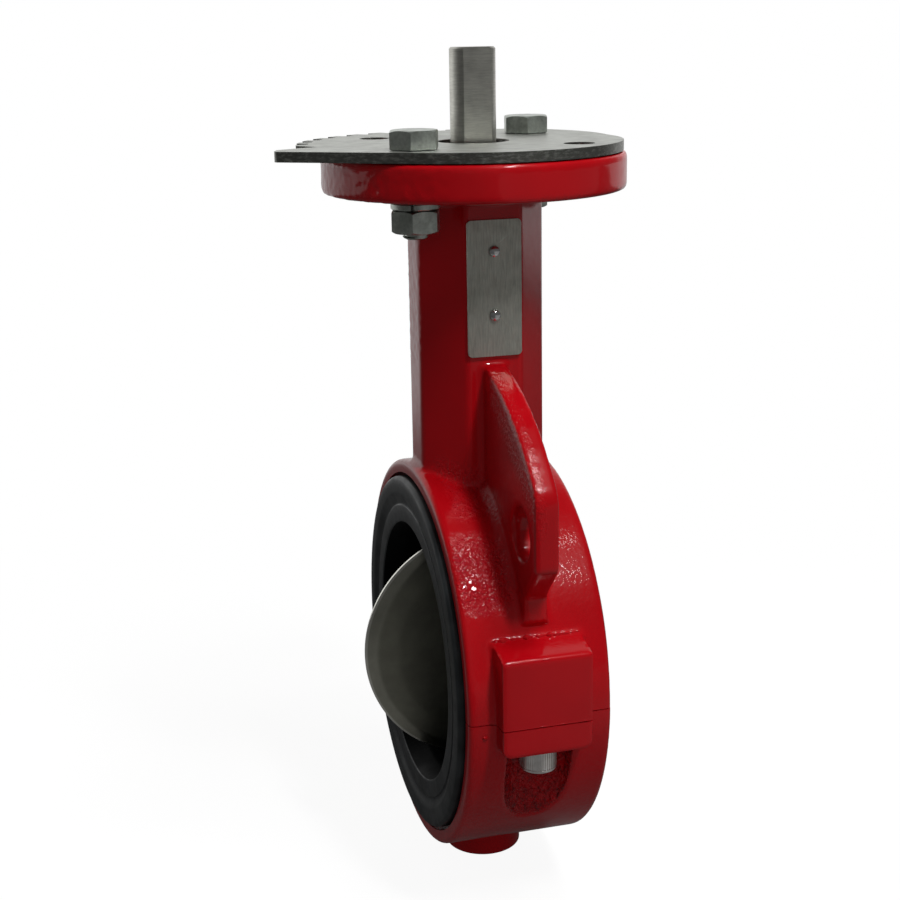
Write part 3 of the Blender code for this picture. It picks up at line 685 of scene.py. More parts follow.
def block(name: str, low: Sequence[float], high: Sequence[float]) -> Shape:
    """Return a plain box between two corners.

    Args:
        name: the object's name.
        low: its lowest X, Y and Z.
        high: its highest X, Y and Z.

    Returns:
        The box.
    """
    shape = bmesh.new()
    bmesh.ops.create_cube(shape, size=1)
    spans = [high[axis] - low[axis] for axis in range(3)]
    middle = [(high[axis] + low[axis]) / 2 for axis in range(3)]
    bmesh.ops.scale(shape, verts=shape.verts, vec=spans)
    bmesh.ops.translate(shape, verts=shape.verts, vec=middle)
    return as_object(name, shape)


def arc(middle: Point, radius: float, start: float, end: float, steps: int = 6) -> list[Point]:
    """Return points of an arc, with its angles in degrees from the outward direction."""
    turns = [math.radians(angle) for angle in spread(start, end, steps + 1)]
    return [(middle[0] + radius * math.cos(t), middle[1] + radius * math.sin(t)) for t in turns]


def circle(x: float, y: float, radius: float, sides: int = SMALL_SIDES) -> list[Point]:
    """Return the points of a circle."""
    turns = [math.tau * side / sides for side in range(sides)]
    return [(x + radius * math.cos(turn), y + radius * math.sin(turn)) for turn in turns]


def rounded(corners: Sequence[Corner], facet: float = FINE_FACET) -> list[Point]:
    """Return the outline through (x, y, radius) corners, each with its rounding.

    Args:
        corners: the corners in order, with a radius of 0 where one is sharp.
        facet: about how many degrees one facet of a rounding spans.

    Returns:
        The outline's points.
    """
    points: list[Point] = []
    count = len(corners)
    for index, (x, y, radius) in enumerate(corners):
        if not radius:
            points.append((x, y))
            continue
        before = corners[index - 1]
        after = corners[(index + 1) % count]
        into = math.atan2(before[1] - y, before[0] - x)
        out = math.atan2(after[1] - y, after[0] - x)
        turn = (out - into + math.pi) % math.tau - math.pi
        reach = radius / math.tan(abs(turn) / 2)
        far = radius / math.sin(abs(turn) / 2)
        middle = into + turn / 2
        centre = (x + far * math.cos(middle), y + far * math.sin(middle))
        start = math.atan2(y + reach * math.sin(into) - centre[1], x + reach * math.cos(into) - centre[0])
        end = math.atan2(y + reach * math.sin(out) - centre[1], x + reach * math.cos(out) - centre[0])
        sweep = (end - start + math.pi) % math.tau - math.pi
        steps = max(3, round(abs(math.degrees(sweep)) / facet))
        points += arc(centre, radius, math.degrees(start), math.degrees(start + sweep), steps)
    return points


def slab(name: str, outlines: Sequence[Profile], low: float, high: float) -> Shape:
    """Return a flat upright prism, from one outline and any holes in it.

    Args:
        name: the object's name.
        outlines: the outer outline, and then those of the holes.
        low: the height of its underside.
        high: the height of its top.

    Returns:
        The closed shape.
    """
    curve = bpy.data.curves.new(name, "CURVE")
    curve.dimensions = "2D"
    curve.fill_mode = "BOTH"
    curve.extrude = (high - low) / 2
    for points in outlines:
        spline = curve.splines.new("POLY")
        spline.points.add(len(points) - 1)
        spline.use_cyclic_u = True
        for place, (x, y) in zip(spline.points, points):
            place.co = (x, y, 0, 1)
    source = linked(name, curve)
    bpy.context.view_layer.update()
    graph = bpy.context.evaluated_depsgraph_get()
    mesh = bpy.data.meshes.new_from_object(source.evaluated_get(graph))
    drop(source)
    shape = bmesh.new()
    shape.from_mesh(mesh)
    bmesh.ops.remove_doubles(shape, verts=shape.verts, dist=0.001 * MM)
    return moved(as_object(name, shape), z=(low + high) / 2)


def combined(name: str, items: Iterable[Shape]) -> Shape:
    """Put several shapes into one object, as they are.

    Args:
        name: the object's name.
        items: the shapes, which are removed.

    Returns:
        The object that holds them all.
    """
    shape = bmesh.new()
    for item in list(items):
        shape.from_mesh(item.data)
        drop(item)
    return as_object(name, shape, outwards=False)


def worked(item: Shape, step: Step, others: Sequence[Shape], exact: bool = False) -> Shape:
    """Join, cut or trim a shape with others, and apply it.

    Args:
        item: the shape that is changed.
        step: what is done to it.
        others: the other shapes, which are removed afterwards.
        exact: whether the slower exact solver is used.

    Returns:
        The changed shape.
    """
    for other in others:
        made = item.modifiers.new("step", "BOOLEAN")
        made.operation = step.value
        made.solver = "EXACT" if exact else "MANIFOLD"
        made.object = other
        settled(item)
    for other in others:
        drop(other)
    return item


def bevelled(item: Shape, width: float, segments: int = 3, angle: float = 30) -> Shape:
    """Round the sharp edges of a shape, and apply it.

    Args:
        item: the object.
        width: how wide the rounding is.
        segments: how many facets it has.
        angle: how many degrees an edge has to turn to be rounded.

    Returns:
        The same object.
    """
    bevel = item.modifiers.new("edge", "BEVEL")
    bevel.width = width
    bevel.segments = segments
    bevel.limit_method = "ANGLE"
    bevel.angle_limit = math.radians(angle)
    return settled(item)


def remeshed(item: Shape, voxel: float, passes: int) -> Shape:
    """Melt a group of shapes into one cast skin, and smooth its edges and corners.

    Args:
        item: the object.
        voxel: the size of the skin's grid.
        passes: how often it is smoothed.

    Returns:
        The same object, as one skin.
    """
    melt = item.modifiers.new("melt", "REMESH")
    melt.mode = "VOXEL"
    melt.voxel_size = voxel
    ease = item.modifiers.new("ease", "SMOOTH")
    ease.factor = 0.5
    ease.iterations = passes
    return settled(item)


def roughened(item: Shape, depth: Callable[[Vector], float], wave: float) -> Shape:
    """Push a skin in and out along its normals by a smooth noise.

    Args:
        item: the skin.
        depth: gives the height of the roughness at a point.
        wave: the size of its lumps.

    Returns:
        The same object.
    """
    mesh = item.data
    normals = [entry.vector.copy() for entry in mesh.vertex_normals]
    for vertex, normal in zip(mesh.vertices, normals):
        lump = noise.noise(vertex.co / wave) + 0.5 * noise.noise(vertex.co / wave * 2.3)
        vertex.co += normal * depth(vertex.co) * lump
    mesh.update()
    return item


def bead(name: str, path: Sequence[Vector], radius: float) -> Shape:
    """Return a wavy bead of run paint along a path, half sunk in what it lies on.

    Args:
        name: the object's name.
        path: the points that the bead follows.
        radius: its mean radius.

    Returns:
        The bead as a closed mesh.
    """
    shape = bmesh.new()
    rings = []
    for index, place in enumerate(path):
        ahead = path[min(index + 1, len(path) - 1)] - path[max(index - 1, 0)]
        side = ahead.cross(Vector((0.3, 0.2, 1))).normalized()
        up = side.cross(ahead).normalized()
        end = min(index, len(path) - 1 - index, 3) / 3
        swell = 0.55 + 0.9 * noise.noise(place / BEAD_LUMP) + 0.35 * noise.noise(place / BEAD_RIPPLE)
        reach = radius * max(0.15, swell) * max(end, 0.1)
        turns = [math.tau * turn / BEAD_SIDES for turn in range(BEAD_SIDES)]
        spokes = [(side * math.cos(turn) + up * math.sin(turn)) * reach for turn in turns]
        rings.append([shape.verts.new(place + spoke) for spoke in spokes])
    for before, after in zip(rings, rings[1:]):
        for turn in range(BEAD_SIDES):
            follow = (turn + 1) % BEAD_SIDES
            shape.faces.new((before[turn], before[follow], after[follow], after[turn]))
    shape.faces.new(rings[0])
    shape.faces.new(rings[-1])
    return as_object(name, shape)


def run(name: str, place: Point, ends: Point, radius: float, count: int) -> Shape:
    """Return a bead of run paint along Y.

    Args:
        name: the object's name.
        place: its X and its Z.
        ends: the Y of its two ends.
        radius: its mean radius.
        count: how many points it follows.

    Returns:
        The bead as a closed mesh.
    """
    x, z = place
    return bead(name, [Vector((x, y, z)) for y in spread(*ends, count)], radius)


def marked(item: Shape, name: str, rule: Callable[[Vector], float]) -> Shape:
    """Store a number at each point of a mesh, for its material to read.

    Args:
        item: the object.
        name: the attribute's name.
        rule: gives the number at a point.

    Returns:
        The same object.
    """
    layer = item.data.attributes.new(name, "FLOAT", "POINT")
    layer.data.foreach_set("value", [rule(vertex.co) for vertex in item.data.vertices])
    return item


def evened(item: Shape) -> Shape:
    """Let the large flat faces rule the shading, so that the light runs smoothly over the small edges.

    Args:
        item: the object.

    Returns:
        The same object.
    """
    step = item.modifiers.new("even", "WEIGHTED_NORMAL")
    step.mode = "FACE_AREA"
    step.weight = 100
    step.keep_sharp = True
    return settled(item)


def dressed(item: Shape, name: str, material: bpy.types.Material, angle: float = 35) -> Shape:
    """Name a finished piece, give it its material and shade it smooth between its sharp edges.

    Args:
        item: the object.
        name: its new name.
        material: its finish.
        angle: how many degrees an edge has to turn to stay sharp.

    Returns:
        The same object.
    """
    item.name = name
    item.data.name = name
    item.data.materials.clear()
    item.data.materials.append(material)
    item.data.polygons.foreach_set("material_index", [0] * len(item.data.polygons))
    item.data.shade_smooth()
    item.data.set_sharp_from_angle(angle=math.radians(angle))
    return item


def seated(item: Shape, body: str, slot: Slot, *nodes: str) -> None:
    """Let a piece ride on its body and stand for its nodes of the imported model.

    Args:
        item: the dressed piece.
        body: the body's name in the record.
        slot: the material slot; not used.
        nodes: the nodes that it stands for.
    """
    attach(item, body)
    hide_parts(*nodes)
    LOG.info("%s stands for %s, with %d faces", item.name, ", ".join(nodes), len(item.data.polygons))


@dataclass(frozen=True)
class BodySizes:
    """Sizes that the two halves of the cast body share."""

    ring: float = 61.9 * MM
    width: float = 43.6 * MM
    edge: float = 1.2 * MM
    bore: float = 43.5 * MM
    groove: float = 45.8 * MM
    groove_width: float = 12.0 * MM
    recess: float = 57.7 * MM
    recess_depth: float = 5.0 * MM
    neck_half_width: float = 19.3 * MM
    neck_half_depth: float = 19.7 * MM
    neck_side: float = 16.8 * MM
    neck_front: float = 12.9 * MM
    neck_edge: float = 1.6 * MM
    flange_top: float = 157.9 * MM
    flange: float = 46.0 * MM
    flange_thickness: float = 11.1 * MM
    hole_pitch: float = 35.0 * MM
    hole: float = 4.6 * MM
    wing_thickness: float = 7.3 * MM
    wing_hole_place: float = 53.9 * MM
    wing_hole: float = 7.8 * MM
    lug_reach: float = 68.5 * MM
    lug_width: float = 27.4 * MM
    lug_height: float = 21.2 * MM
    lug_rise: float = 2.3 * MM
    lower_lug: float = 8.6 * MM
    pocket: float = 10.0 * MM
    bolt_place: float = 58.6 * MM
    bolt_hole: float = 3.3 * MM
    stem_hole: float = 9.7 * MM
    boss: float = 12.3 * MM
    boss_foot: float = 71.1 * MM
    voxel: float = 0.8 * MM
    passes: int = 7

    @property
    def flange_foot(self) -> float:
        """The height of the top flange's underside."""
        return self.flange_top - self.flange_thickness

    @property
    def hole_place(self) -> float:
        """How far each top flange hole lies from the axis, in X and in Y."""
        return self.hole_pitch / math.sqrt(2)

    def hole_places(self) -> list[Point]:
        """Return the X and the Y of the top flange's four holes."""
        place = self.hole_place
        return [(x_side * place, y_side * place) for x_side in (1, -1) for y_side in (1, -1)]

    def drum(self) -> Shape:
        """Return the outer ring as a solid drum along Y.

        Returns:
            The drum, with rounded rims.
        """
        half = self.width / 2
        rim = (self.ring - self.edge, half - self.edge)
        profile = [(0, half), *arc(rim, self.edge, 90, 0)]
        profile += [*arc((rim[0], -rim[1]), self.edge, 0, -90), (0, -half)]
        return laid(turned("drum", profile), Axis.Y)

    def bore_cutter(self) -> Shape:
        """Return what the bore, its groove and the two face recesses take away.

        Returns:
            The shape to cut with, along Y.
        """
        half = self.width / 2
        end = half + OVERRUN
        floor = half - self.recess_depth
        groove = self.groove_width / 2
        side = [(0, end), (self.recess, end), (self.recess, floor), (self.bore, floor)]
        side += [(self.bore, groove), (self.groove, groove)]
        profile = side + [(radius, -height) for radius, height in reversed(side)]
        return laid(turned("bore", profile), Axis.Y)

    def half_space(self, foot: float, top: float) -> Shape:
        """Return a box over the whole body between two heights.

        Args:
            foot: its lower height.
            top: its upper height.

        Returns:
            The box.
        """
        reach = self.lug_reach + OVERRUN
        depth = self.width / 2 + OVERRUN
        return block("half space", (-reach, -depth, foot), (reach, depth, top))


@dataclass(frozen=True)
class CastSkin:
    """Where the castings are rough: in the bolt pockets, on the ring's shoulder and crown, and on the wings.

    Each pair of numbers says where a rough patch starts to grow or to fade, and where it is full or gone.
    """

    sizes: BodySizes
    margin: float = 0.5 * MM
    pit_foot: float = -54.0 * MM
    pit_top: float = -8.0 * MM
    skin_grows: Point = (-1.5 * MM, -0.5 * MM)
    skin_fades: Point = (2.0 * MM, 9.0 * MM)
    shoulder_grows: Point = (28.0 * MM, 36.0 * MM)
    shoulder_fades: Point = (44.0 * MM, 52.0 * MM)
    shoulder_middle: float = -13.0 * MM
    shoulder_sides: Point = (5.0 * MM, 10.0 * MM)
    crown_grows: Point = (50.0 * MM, 56.0 * MM)
    crown_middle: float = -10.0 * MM
    crown_sides: Point = (4.0 * MM, 9.0 * MM)
    crown_share: float = 0.5
    wing_grows: Point = (84.0 * MM, 92.0 * MM)
    wing_front: float = -5.5 * MM
    wing_inner: float = 26.0 * MM
    wing_top: float = 100.0 * MM
    wing_share: float = 0.22
    least: float = 0.05

    def pit(self, place: Vector) -> float:
        """Return 1 inside the bolt pockets and 0 elsewhere.

        Args:
            place: a point of a casting.

        Returns:
            Either 1 or 0.
        """
        s = self.sizes
        radial = math.hypot(place.x, place.z)
        across = abs(place.y) < s.pocket + self.margin and self.pit_foot < place.z < self.pit_top
        return float(across and radial < s.ring - self.margin and abs(place.x) > s.recess / 2)

    def sand(self, place: Vector) -> float:
        """Return how much of the sand's grain shows at a place, from 0 to 1.

        Args:
            place: a point of a casting.

        Returns:
            The grain's share there.
        """
        if self.pit(place):
            return 1.0
        radial = math.hypot(place.x, place.z)
        height = radial - self.sizes.ring
        skin = eased(height, *self.skin_grows) * (1 - eased(height, *self.skin_fades))
        shoulder = eased(place.z, *self.shoulder_grows) * (1 - eased(place.z, *self.shoulder_fades))
        shoulder *= 1 - eased(abs(place.y - self.shoulder_middle), *self.shoulder_sides)
        crown = eased(place.z, *self.crown_grows)
        crown *= 1 - eased(abs(place.y - self.crown_middle), *self.crown_sides)
        outer = self.wing_front < place.y < 0 and abs(place.x) > self.wing_inner and place.z < self.wing_top
        wing = eased(radial, *self.wing_grows) * float(outer)
        return max(skin * max(self.least, shoulder, self.crown_share * crown), self.wing_share * wing)


@dataclass
class UpperBody:
    """The upper casting: half ring, octagonal neck, round top flange, two wings and two lugs."""

    sizes: BodySizes
    finishes: Finishes
    skin: CastSkin
    wing_corners: tuple[Corner, ...] = (
        (0.0, 100.3, 0.0),
        (45.0, 91.3, 80.0),
        (67.6, 68.7, 9.0),
        (67.6, 46.5, 1.6),
        (57.2, 35.5, 1.6),
        (57.2, 27.5, 0.0),
        (43.5, 27.5, 0.0),
        (0.0, 43.5, 0.0),
    )
    flare: float = 3.0 * MM
    root_side: float = 1.4 * MM
    root_rise: float = 1.4 * MM
    root_foot: float = 36.5 * MM
    lug_face: float = 68.2 * MM
    sunk: float = 0.5 * MM
    lump: float = 2.0 * MM
    smooth: float = 0.008 * MM
    grain: float = 0.035 * MM
    ripple: float = 0.12 * MM
    ripple_foot: float = 95.0 * MM

    def neck(self) -> Shape:
        """Return the neck, a column with four square faces and four slanted ones.

        Returns:
            The upright column.
        """
        s = self.sizes
        quarter = [(s.neck_half_width, s.neck_side / 2), (s.neck_front / 2, s.neck_half_depth)]
        corners: list[Corner] = []
        for x_sign, y_sign in ((1, 1), (-1, 1), (-1, -1), (1, -1)):
            ordered = quarter if x_sign == y_sign else quarter[::-1]
            corners += [(x_sign * x, y_sign * y, s.neck_edge) for x, y in ordered]
        return slab("neck", [rounded(corners, COARSE_FACET)], s.bore, s.flange_top - OVERRUN)

    def top_flange(self) -> Shape:
        """Return the round top flange, with the short flare under it.

        Returns:
            The flange, without its holes.
        """
        s = self.sizes
        rim = s.flange - s.edge
        profile = [(0, s.flange_top), *arc((rim, s.flange_top - s.edge), s.edge, 90, 0)]
        profile += arc((rim, s.flange_foot + s.edge), s.edge, 0, -90)
        profile += [(s.neck_half_width + self.flare, s.flange_foot)]
        profile += [(s.neck_half_width - self.flare / 2, s.flange_foot - self.flare - OVERRUN)]
        profile += [(0, s.flange_foot - self.flare - OVERRUN)]
        return turned("top flange", profile)

    def wing_outline(self) -> list[Point]:
        """Return the near wing's outline, with its corners rounded."""
        return rounded([(x * MM, y * MM, radius * MM) for x, y, radius in self.wing_corners])

    def wing(self) -> Shape:
        """Return the near wing, with its locating hole.

        Returns:
            The flat wing, across the flow.
        """
        s = self.sizes
        hole = circle(s.wing_hole_place, s.wing_hole_place, s.wing_hole, ROUND_SIDES)
        half = s.wing_thickness / 2
        return laid(slab("wing", [self.wing_outline(), hole], -half, half), Axis.Y)

    def root(self) -> Shape:
        """Return the wing's thicker root, which the skin melts into a fillet along the ring.

        Returns:
            The root, cut to the wing's outline.
        """
        s = self.sizes
        reach = s.width / 2
        outline = laid(slab("outline", [self.wing_outline()], -reach, reach), Axis.Y)
        half = s.wing_thickness / 2 + self.root_side
        disc = laid(rod("root", s.ring + self.root_rise, -half, half, FINE_SIDES), Axis.Y)
        above = block("above the rib", (0, -reach, self.root_foot), (s.lug_reach, reach, s.flange_foot))
        return worked(disc, Step.TRIM, [outline, above], True)

    def lug(self) -> Shape:
        """Return the near upper joint lug, whose top slopes up towards the ring.

        Returns:
            The lug, before it is melted into the casting.
        """
        s = self.sizes
        inside = s.bore + GAP
        slope = s.lug_rise / (self.lug_face - s.recess)
        rise = slope * (self.lug_face - inside)
        foot = -3 * s.edge
        corners = [(inside, foot), (self.lug_face, foot), (self.lug_face, s.lug_height)]
        corners.append((inside, s.lug_height + rise))
        return laid(slab("lug", [corners], -s.lug_width / 2, s.lug_width / 2), Axis.Y)

    def beads(self) -> list[Shape]:
        """Return the run paint behind the near lug's top, along its front edge and along the split.

        Returns:
            The three beads.
        """
        s = self.sizes
        half = s.lug_width / 2
        top = s.lug_height + s.lug_rise + 0.3 * MM
        behind = (math.sqrt(s.ring**2 - top**2) + 0.35 * MM, top)
        edge = (self.lug_face - self.sunk, s.lug_height - self.sunk)
        split = (self.lug_face - 0.16 * MM, 0.38 * MM)
        return [
            run("edge bead", edge, (-12.6 * MM, 1.9 * MM), 0.42 * MM, 60),
            run("junction bead", behind, (-half, half), 1.0 * MM, 61),
            run("split bead", split, (-4.0 * MM, 12.5 * MM), 0.31 * MM, 66),
        ]

    def depth(self, place: Vector) -> float:
        """Return how rough the skin is at a place."""
        on_front = place.z > self.ripple_foot and place.y < self.sunk - self.sizes.neck_half_depth
        return self.smooth + self.grain * self.skin.sand(place) + self.ripple * float(on_front)

    def build(self) -> None:
        """Cast the upper body, machine it and dress it."""
        s = self.sizes
        wing = self.wing()
        lug = self.lug()
        blanks = [s.drum(), self.neck(), self.top_flange(), wing, mirrored(wing, "far wing")]
        root = self.root()
        blanks += [lug, mirrored(lug, "far lug"), root, mirrored(root, "far root")]
        body = remeshed(combined("casting", blanks), s.voxel, s.passes)
        roughened(body, self.depth, self.lump)
        cutters = [s.bore_cutter(), s.half_space(-s.ring - OVERRUN, GAP / 2)]
        cutters.append(rod("stem hole", s.stem_hole, 0, s.flange_top + OVERRUN))
        high = s.flange_top + OVERRUN
        for x, y in s.hole_places():
            cutters.append(moved(rod("flange hole", s.hole, s.flange_foot - OVERRUN, high), x, y))
        reach = s.flange + OVERRUN
        cutters.append(block("flange face", (-reach, -reach, s.flange_top), (reach, reach, high)))
        worked(body, Step.CUT, cutters)
        whole = combined("upper body", [body, *self.beads()])
        marked(whole, "cast", self.skin.sand)
        marked(whole, "pit", self.skin.pit)
        dressed(whole, "upper_casting", self.finishes.paint)
        seated(whole, "body", Slot.PAINT, "upper_body")


@dataclass
class LowerBody:
    """The lower casting: half ring, two lugs with scooped bolt pockets, and the blind boss."""

    sizes: BodySizes
    finishes: Finishes
    skin: CastSkin
    voxel: float = 0.7 * MM
    passes: int = 4
    lump: float = 1.7 * MM
    smooth: float = 0.008 * MM
    grain: float = 0.28 * MM
    lug_corner: float = 2.6 * MM
    foot_round: float = 0.8 * MM
    foot_taper: float = 0.6 * MM
    foot_height: float = 4.0 * MM
    bush_hole_foot: float = -66.0 * MM

    def lug(self) -> Shape:
        """Return the near lower joint lug.

        Returns:
            The lug, before it is melted into the casting.
        """
        s = self.sizes
        half = s.lug_width / 2
        corners = [
            (-half, s.lower_lug, 0.0),
            (-half, -s.lower_lug, self.lug_corner),
            (half, -s.lower_lug, self.lug_corner),
            (half, s.lower_lug, 0.0),
        ]
        lug = laid(slab("lower lug", [rounded(corners)], s.bore + GAP, s.lug_reach - GAP), Axis.Y)
        return turned_by(lug, math.pi / 2, Axis.Z)

    def boss(self) -> Shape:
        """Return the blind boss that holds the lower end of the stem.

        Returns:
            The upright boss.
        """
        s = self.sizes
        profile = [(0, -s.bore - OVERRUN), (s.boss, -s.bore - OVERRUN)]
        profile += [(s.boss, GAP - s.boss_foot), (0, GAP - s.boss_foot)]
        return turned("boss", profile, ROUND_SIDES)

    def foot(self) -> Shape:
        """Return the boss's turned end, whose edge stays crisper than the cast skin.

        Returns:
            The upright end.
        """
        s = self.sizes
        rim = (s.boss - self.foot_round, self.foot_round - s.boss_foot)
        profile = [(0, -s.ring), (s.boss - self.foot_taper, -s.ring)]
        profile += [(s.boss, self.foot_height - s.boss_foot)]
        profile += [*arc(rim, self.foot_round, 0, -90), (0, -s.boss_foot)]
        return turned("foot", profile, ROUND_SIDES)

    def runs(self) -> list[Shape]:
        """Return the run of paint under the near lug, beside its screw, and the bump on the ring.

        Returns:
            The two beads.
        """
        s = self.sizes
        left = (s.ring + 1.2 * MM, 0.5 * MM - s.lower_lug)
        bump = (s.ring - 0.25 * MM, -3.9 * MM)
        return [
            run("left run", left, (-13.2 * MM, -6.2 * MM), 1.0 * MM, 26),
            run("bump", bump, (-18.1 * MM, -16.3 * MM), 1.1 * MM, 14),
        ]

    def depth(self, place: Vector) -> float:
        """Return how rough the skin is at a place."""
        return self.smooth + self.grain * self.skin.pit(place)

    def build(self) -> None:
        """Cast the lower body, machine it and dress it."""
        s = self.sizes
        drum = s.drum()
        pockets = []
        for side in (1, -1):
            pocket = rod("pocket", s.pocket, -s.ring - OVERRUN, -s.lower_lug / 2)
            pockets.append(moved(pocket, side * s.bolt_place))
        worked(drum, Step.CUT, pockets)
        lug = self.lug()
        flipped = mirrored(lug, "far lower lug")
        body = combined("lower casting", [drum, lug, flipped, self.boss()])
        remeshed(body, self.voxel, self.passes)
        roughened(body, self.depth, self.lump)
        cutters = [s.bore_cutter(), s.half_space(-GAP / 2, s.ring + OVERRUN)]
        cutters.append(rod("lower bush hole", s.stem_hole, self.bush_hole_foot, 0))
        for side in (1, -1):
            hole = rod("bolt hole", s.bolt_hole, -s.lower_lug - OVERRUN, OVERRUN)
            cutters.append(moved(hole, side * s.bolt_place))
        worked(body, Step.CUT, cutters)
        body = combined("lower body", [body, self.foot(), *self.runs()])
        marked(body, "cast", self.skin.sand)
        marked(body, "pit", self.skin.pit)
        dressed(body, "lower_casting", self.finishes.paint)
        seated(body, "body", Slot.PAINT, "lower_body")


@dataclass
class Seat:
    """The moulded rubber seat that lines the bore and laps both faces."""

    sizes: BodySizes
    finishes: Finishes
    proud: float = 1.9 * MM
    outer: float = 56.5 * MM
    bore: float = 38.9 * MM
    lip: float = 41.5 * MM
    lip_depth: float = 7.0 * MM
    lip_round: float = 0.9 * MM
    throat_lean: float = 0.35 * MM
    throat_rise: float = 0.9 * MM
    swell: float = 2.6 * MM
    swell_height: float = 0.10 * MM
    step_round: float = 0.35 * MM
    step_inset: float = 0.6 * MM
    dish_steps: int = 8
    dish_start: float = 47.6 * MM
    crest: float = 51.4 * MM
    drop: float = 0.9 * MM
    valley: float = 0.35 * MM
    rim_round: float = 1.5 * MM
    crest_flat: float = 1.2 * MM
    throat_margin: float = 0.2 * MM
    passage: float = 60.0 * MM
    hub_hole: float = 10.1 * MM
    stem_hole: float = 7.2 * MM

    def side(self) -> list[Point]:
        """Return half of the seat's section, from the bore over the face and down its back.

        Returns:
            Points of radius and of distance from the valve's middle.
        """
        s = self.sizes
        top = s.width / 2 + self.proud
        band = top - self.drop
        floor = band - self.lip_depth
        points = [(self.bore, floor), (self.bore + self.throat_lean, floor + self.throat_rise)]
        lip = self.lip_round
        points += arc((self.lip + lip, band - lip), lip, 155, 90, 5)
        step = self.step_round
        points += [(self.lip + self.swell, band + self.swell_height)]
        points += [(self.dish_start - 2 * step, band + self.swell_height / 5)]
        points += arc((self.dish_start - self.step_inset, band - step), step, 80, 10, 3)
        for share in spread(0.0, 1.0, self.dish_steps + 1):
            radius = self.dish_start + (self.crest - self.dish_start) * share
            points.append((radius, band - self.valley + (self.drop + self.valley) * eased(share, 0, 1)))
        flat = self.outer - self.rim_round
        points.append((flat - self.crest_flat, top))
        points += arc((flat, top - self.rim_round), self.rim_round, 80, 0, 7)
        shelf = s.width / 2 - s.recess_depth + GAP
        back = s.bore - GAP
        groove = s.groove_width / 2 - GAP
        points += [(self.outer, shelf), (back, shelf), (back, groove), (s.groove - GAP, groove)]
        return points

    def build(self) -> None:
        """Mould the seat and dress it."""
        half = self.side()
        profile = half + [(radius, -height) for radius, height in reversed(half)]
        seat = laid(turned("seat", profile, FINE_SIDES, True), Axis.Y)
        reach = self.bore + GAP / 2
        cutters = [rod("hub flats", self.hub_hole, -reach, reach)]
        cutters.append(rod("stem passage", self.stem_hole, -self.passage, self.passage))
        worked(seat, Step.CUT, cutters)
        dressed(seat, "seat_rubber", self.finishes.rubber, 40)
        # painted shade: the faces in the throat take the near-black rubber
        seat.data.materials.append(self.finishes.throat)
        for face in seat.data.polygons:
            in_throat = math.hypot(face.center.x, face.center.z) < self.lip + self.throat_margin
            face.material_index = int(in_throat)
        seated(seat, "body", Slot.RUBBER, "seat")


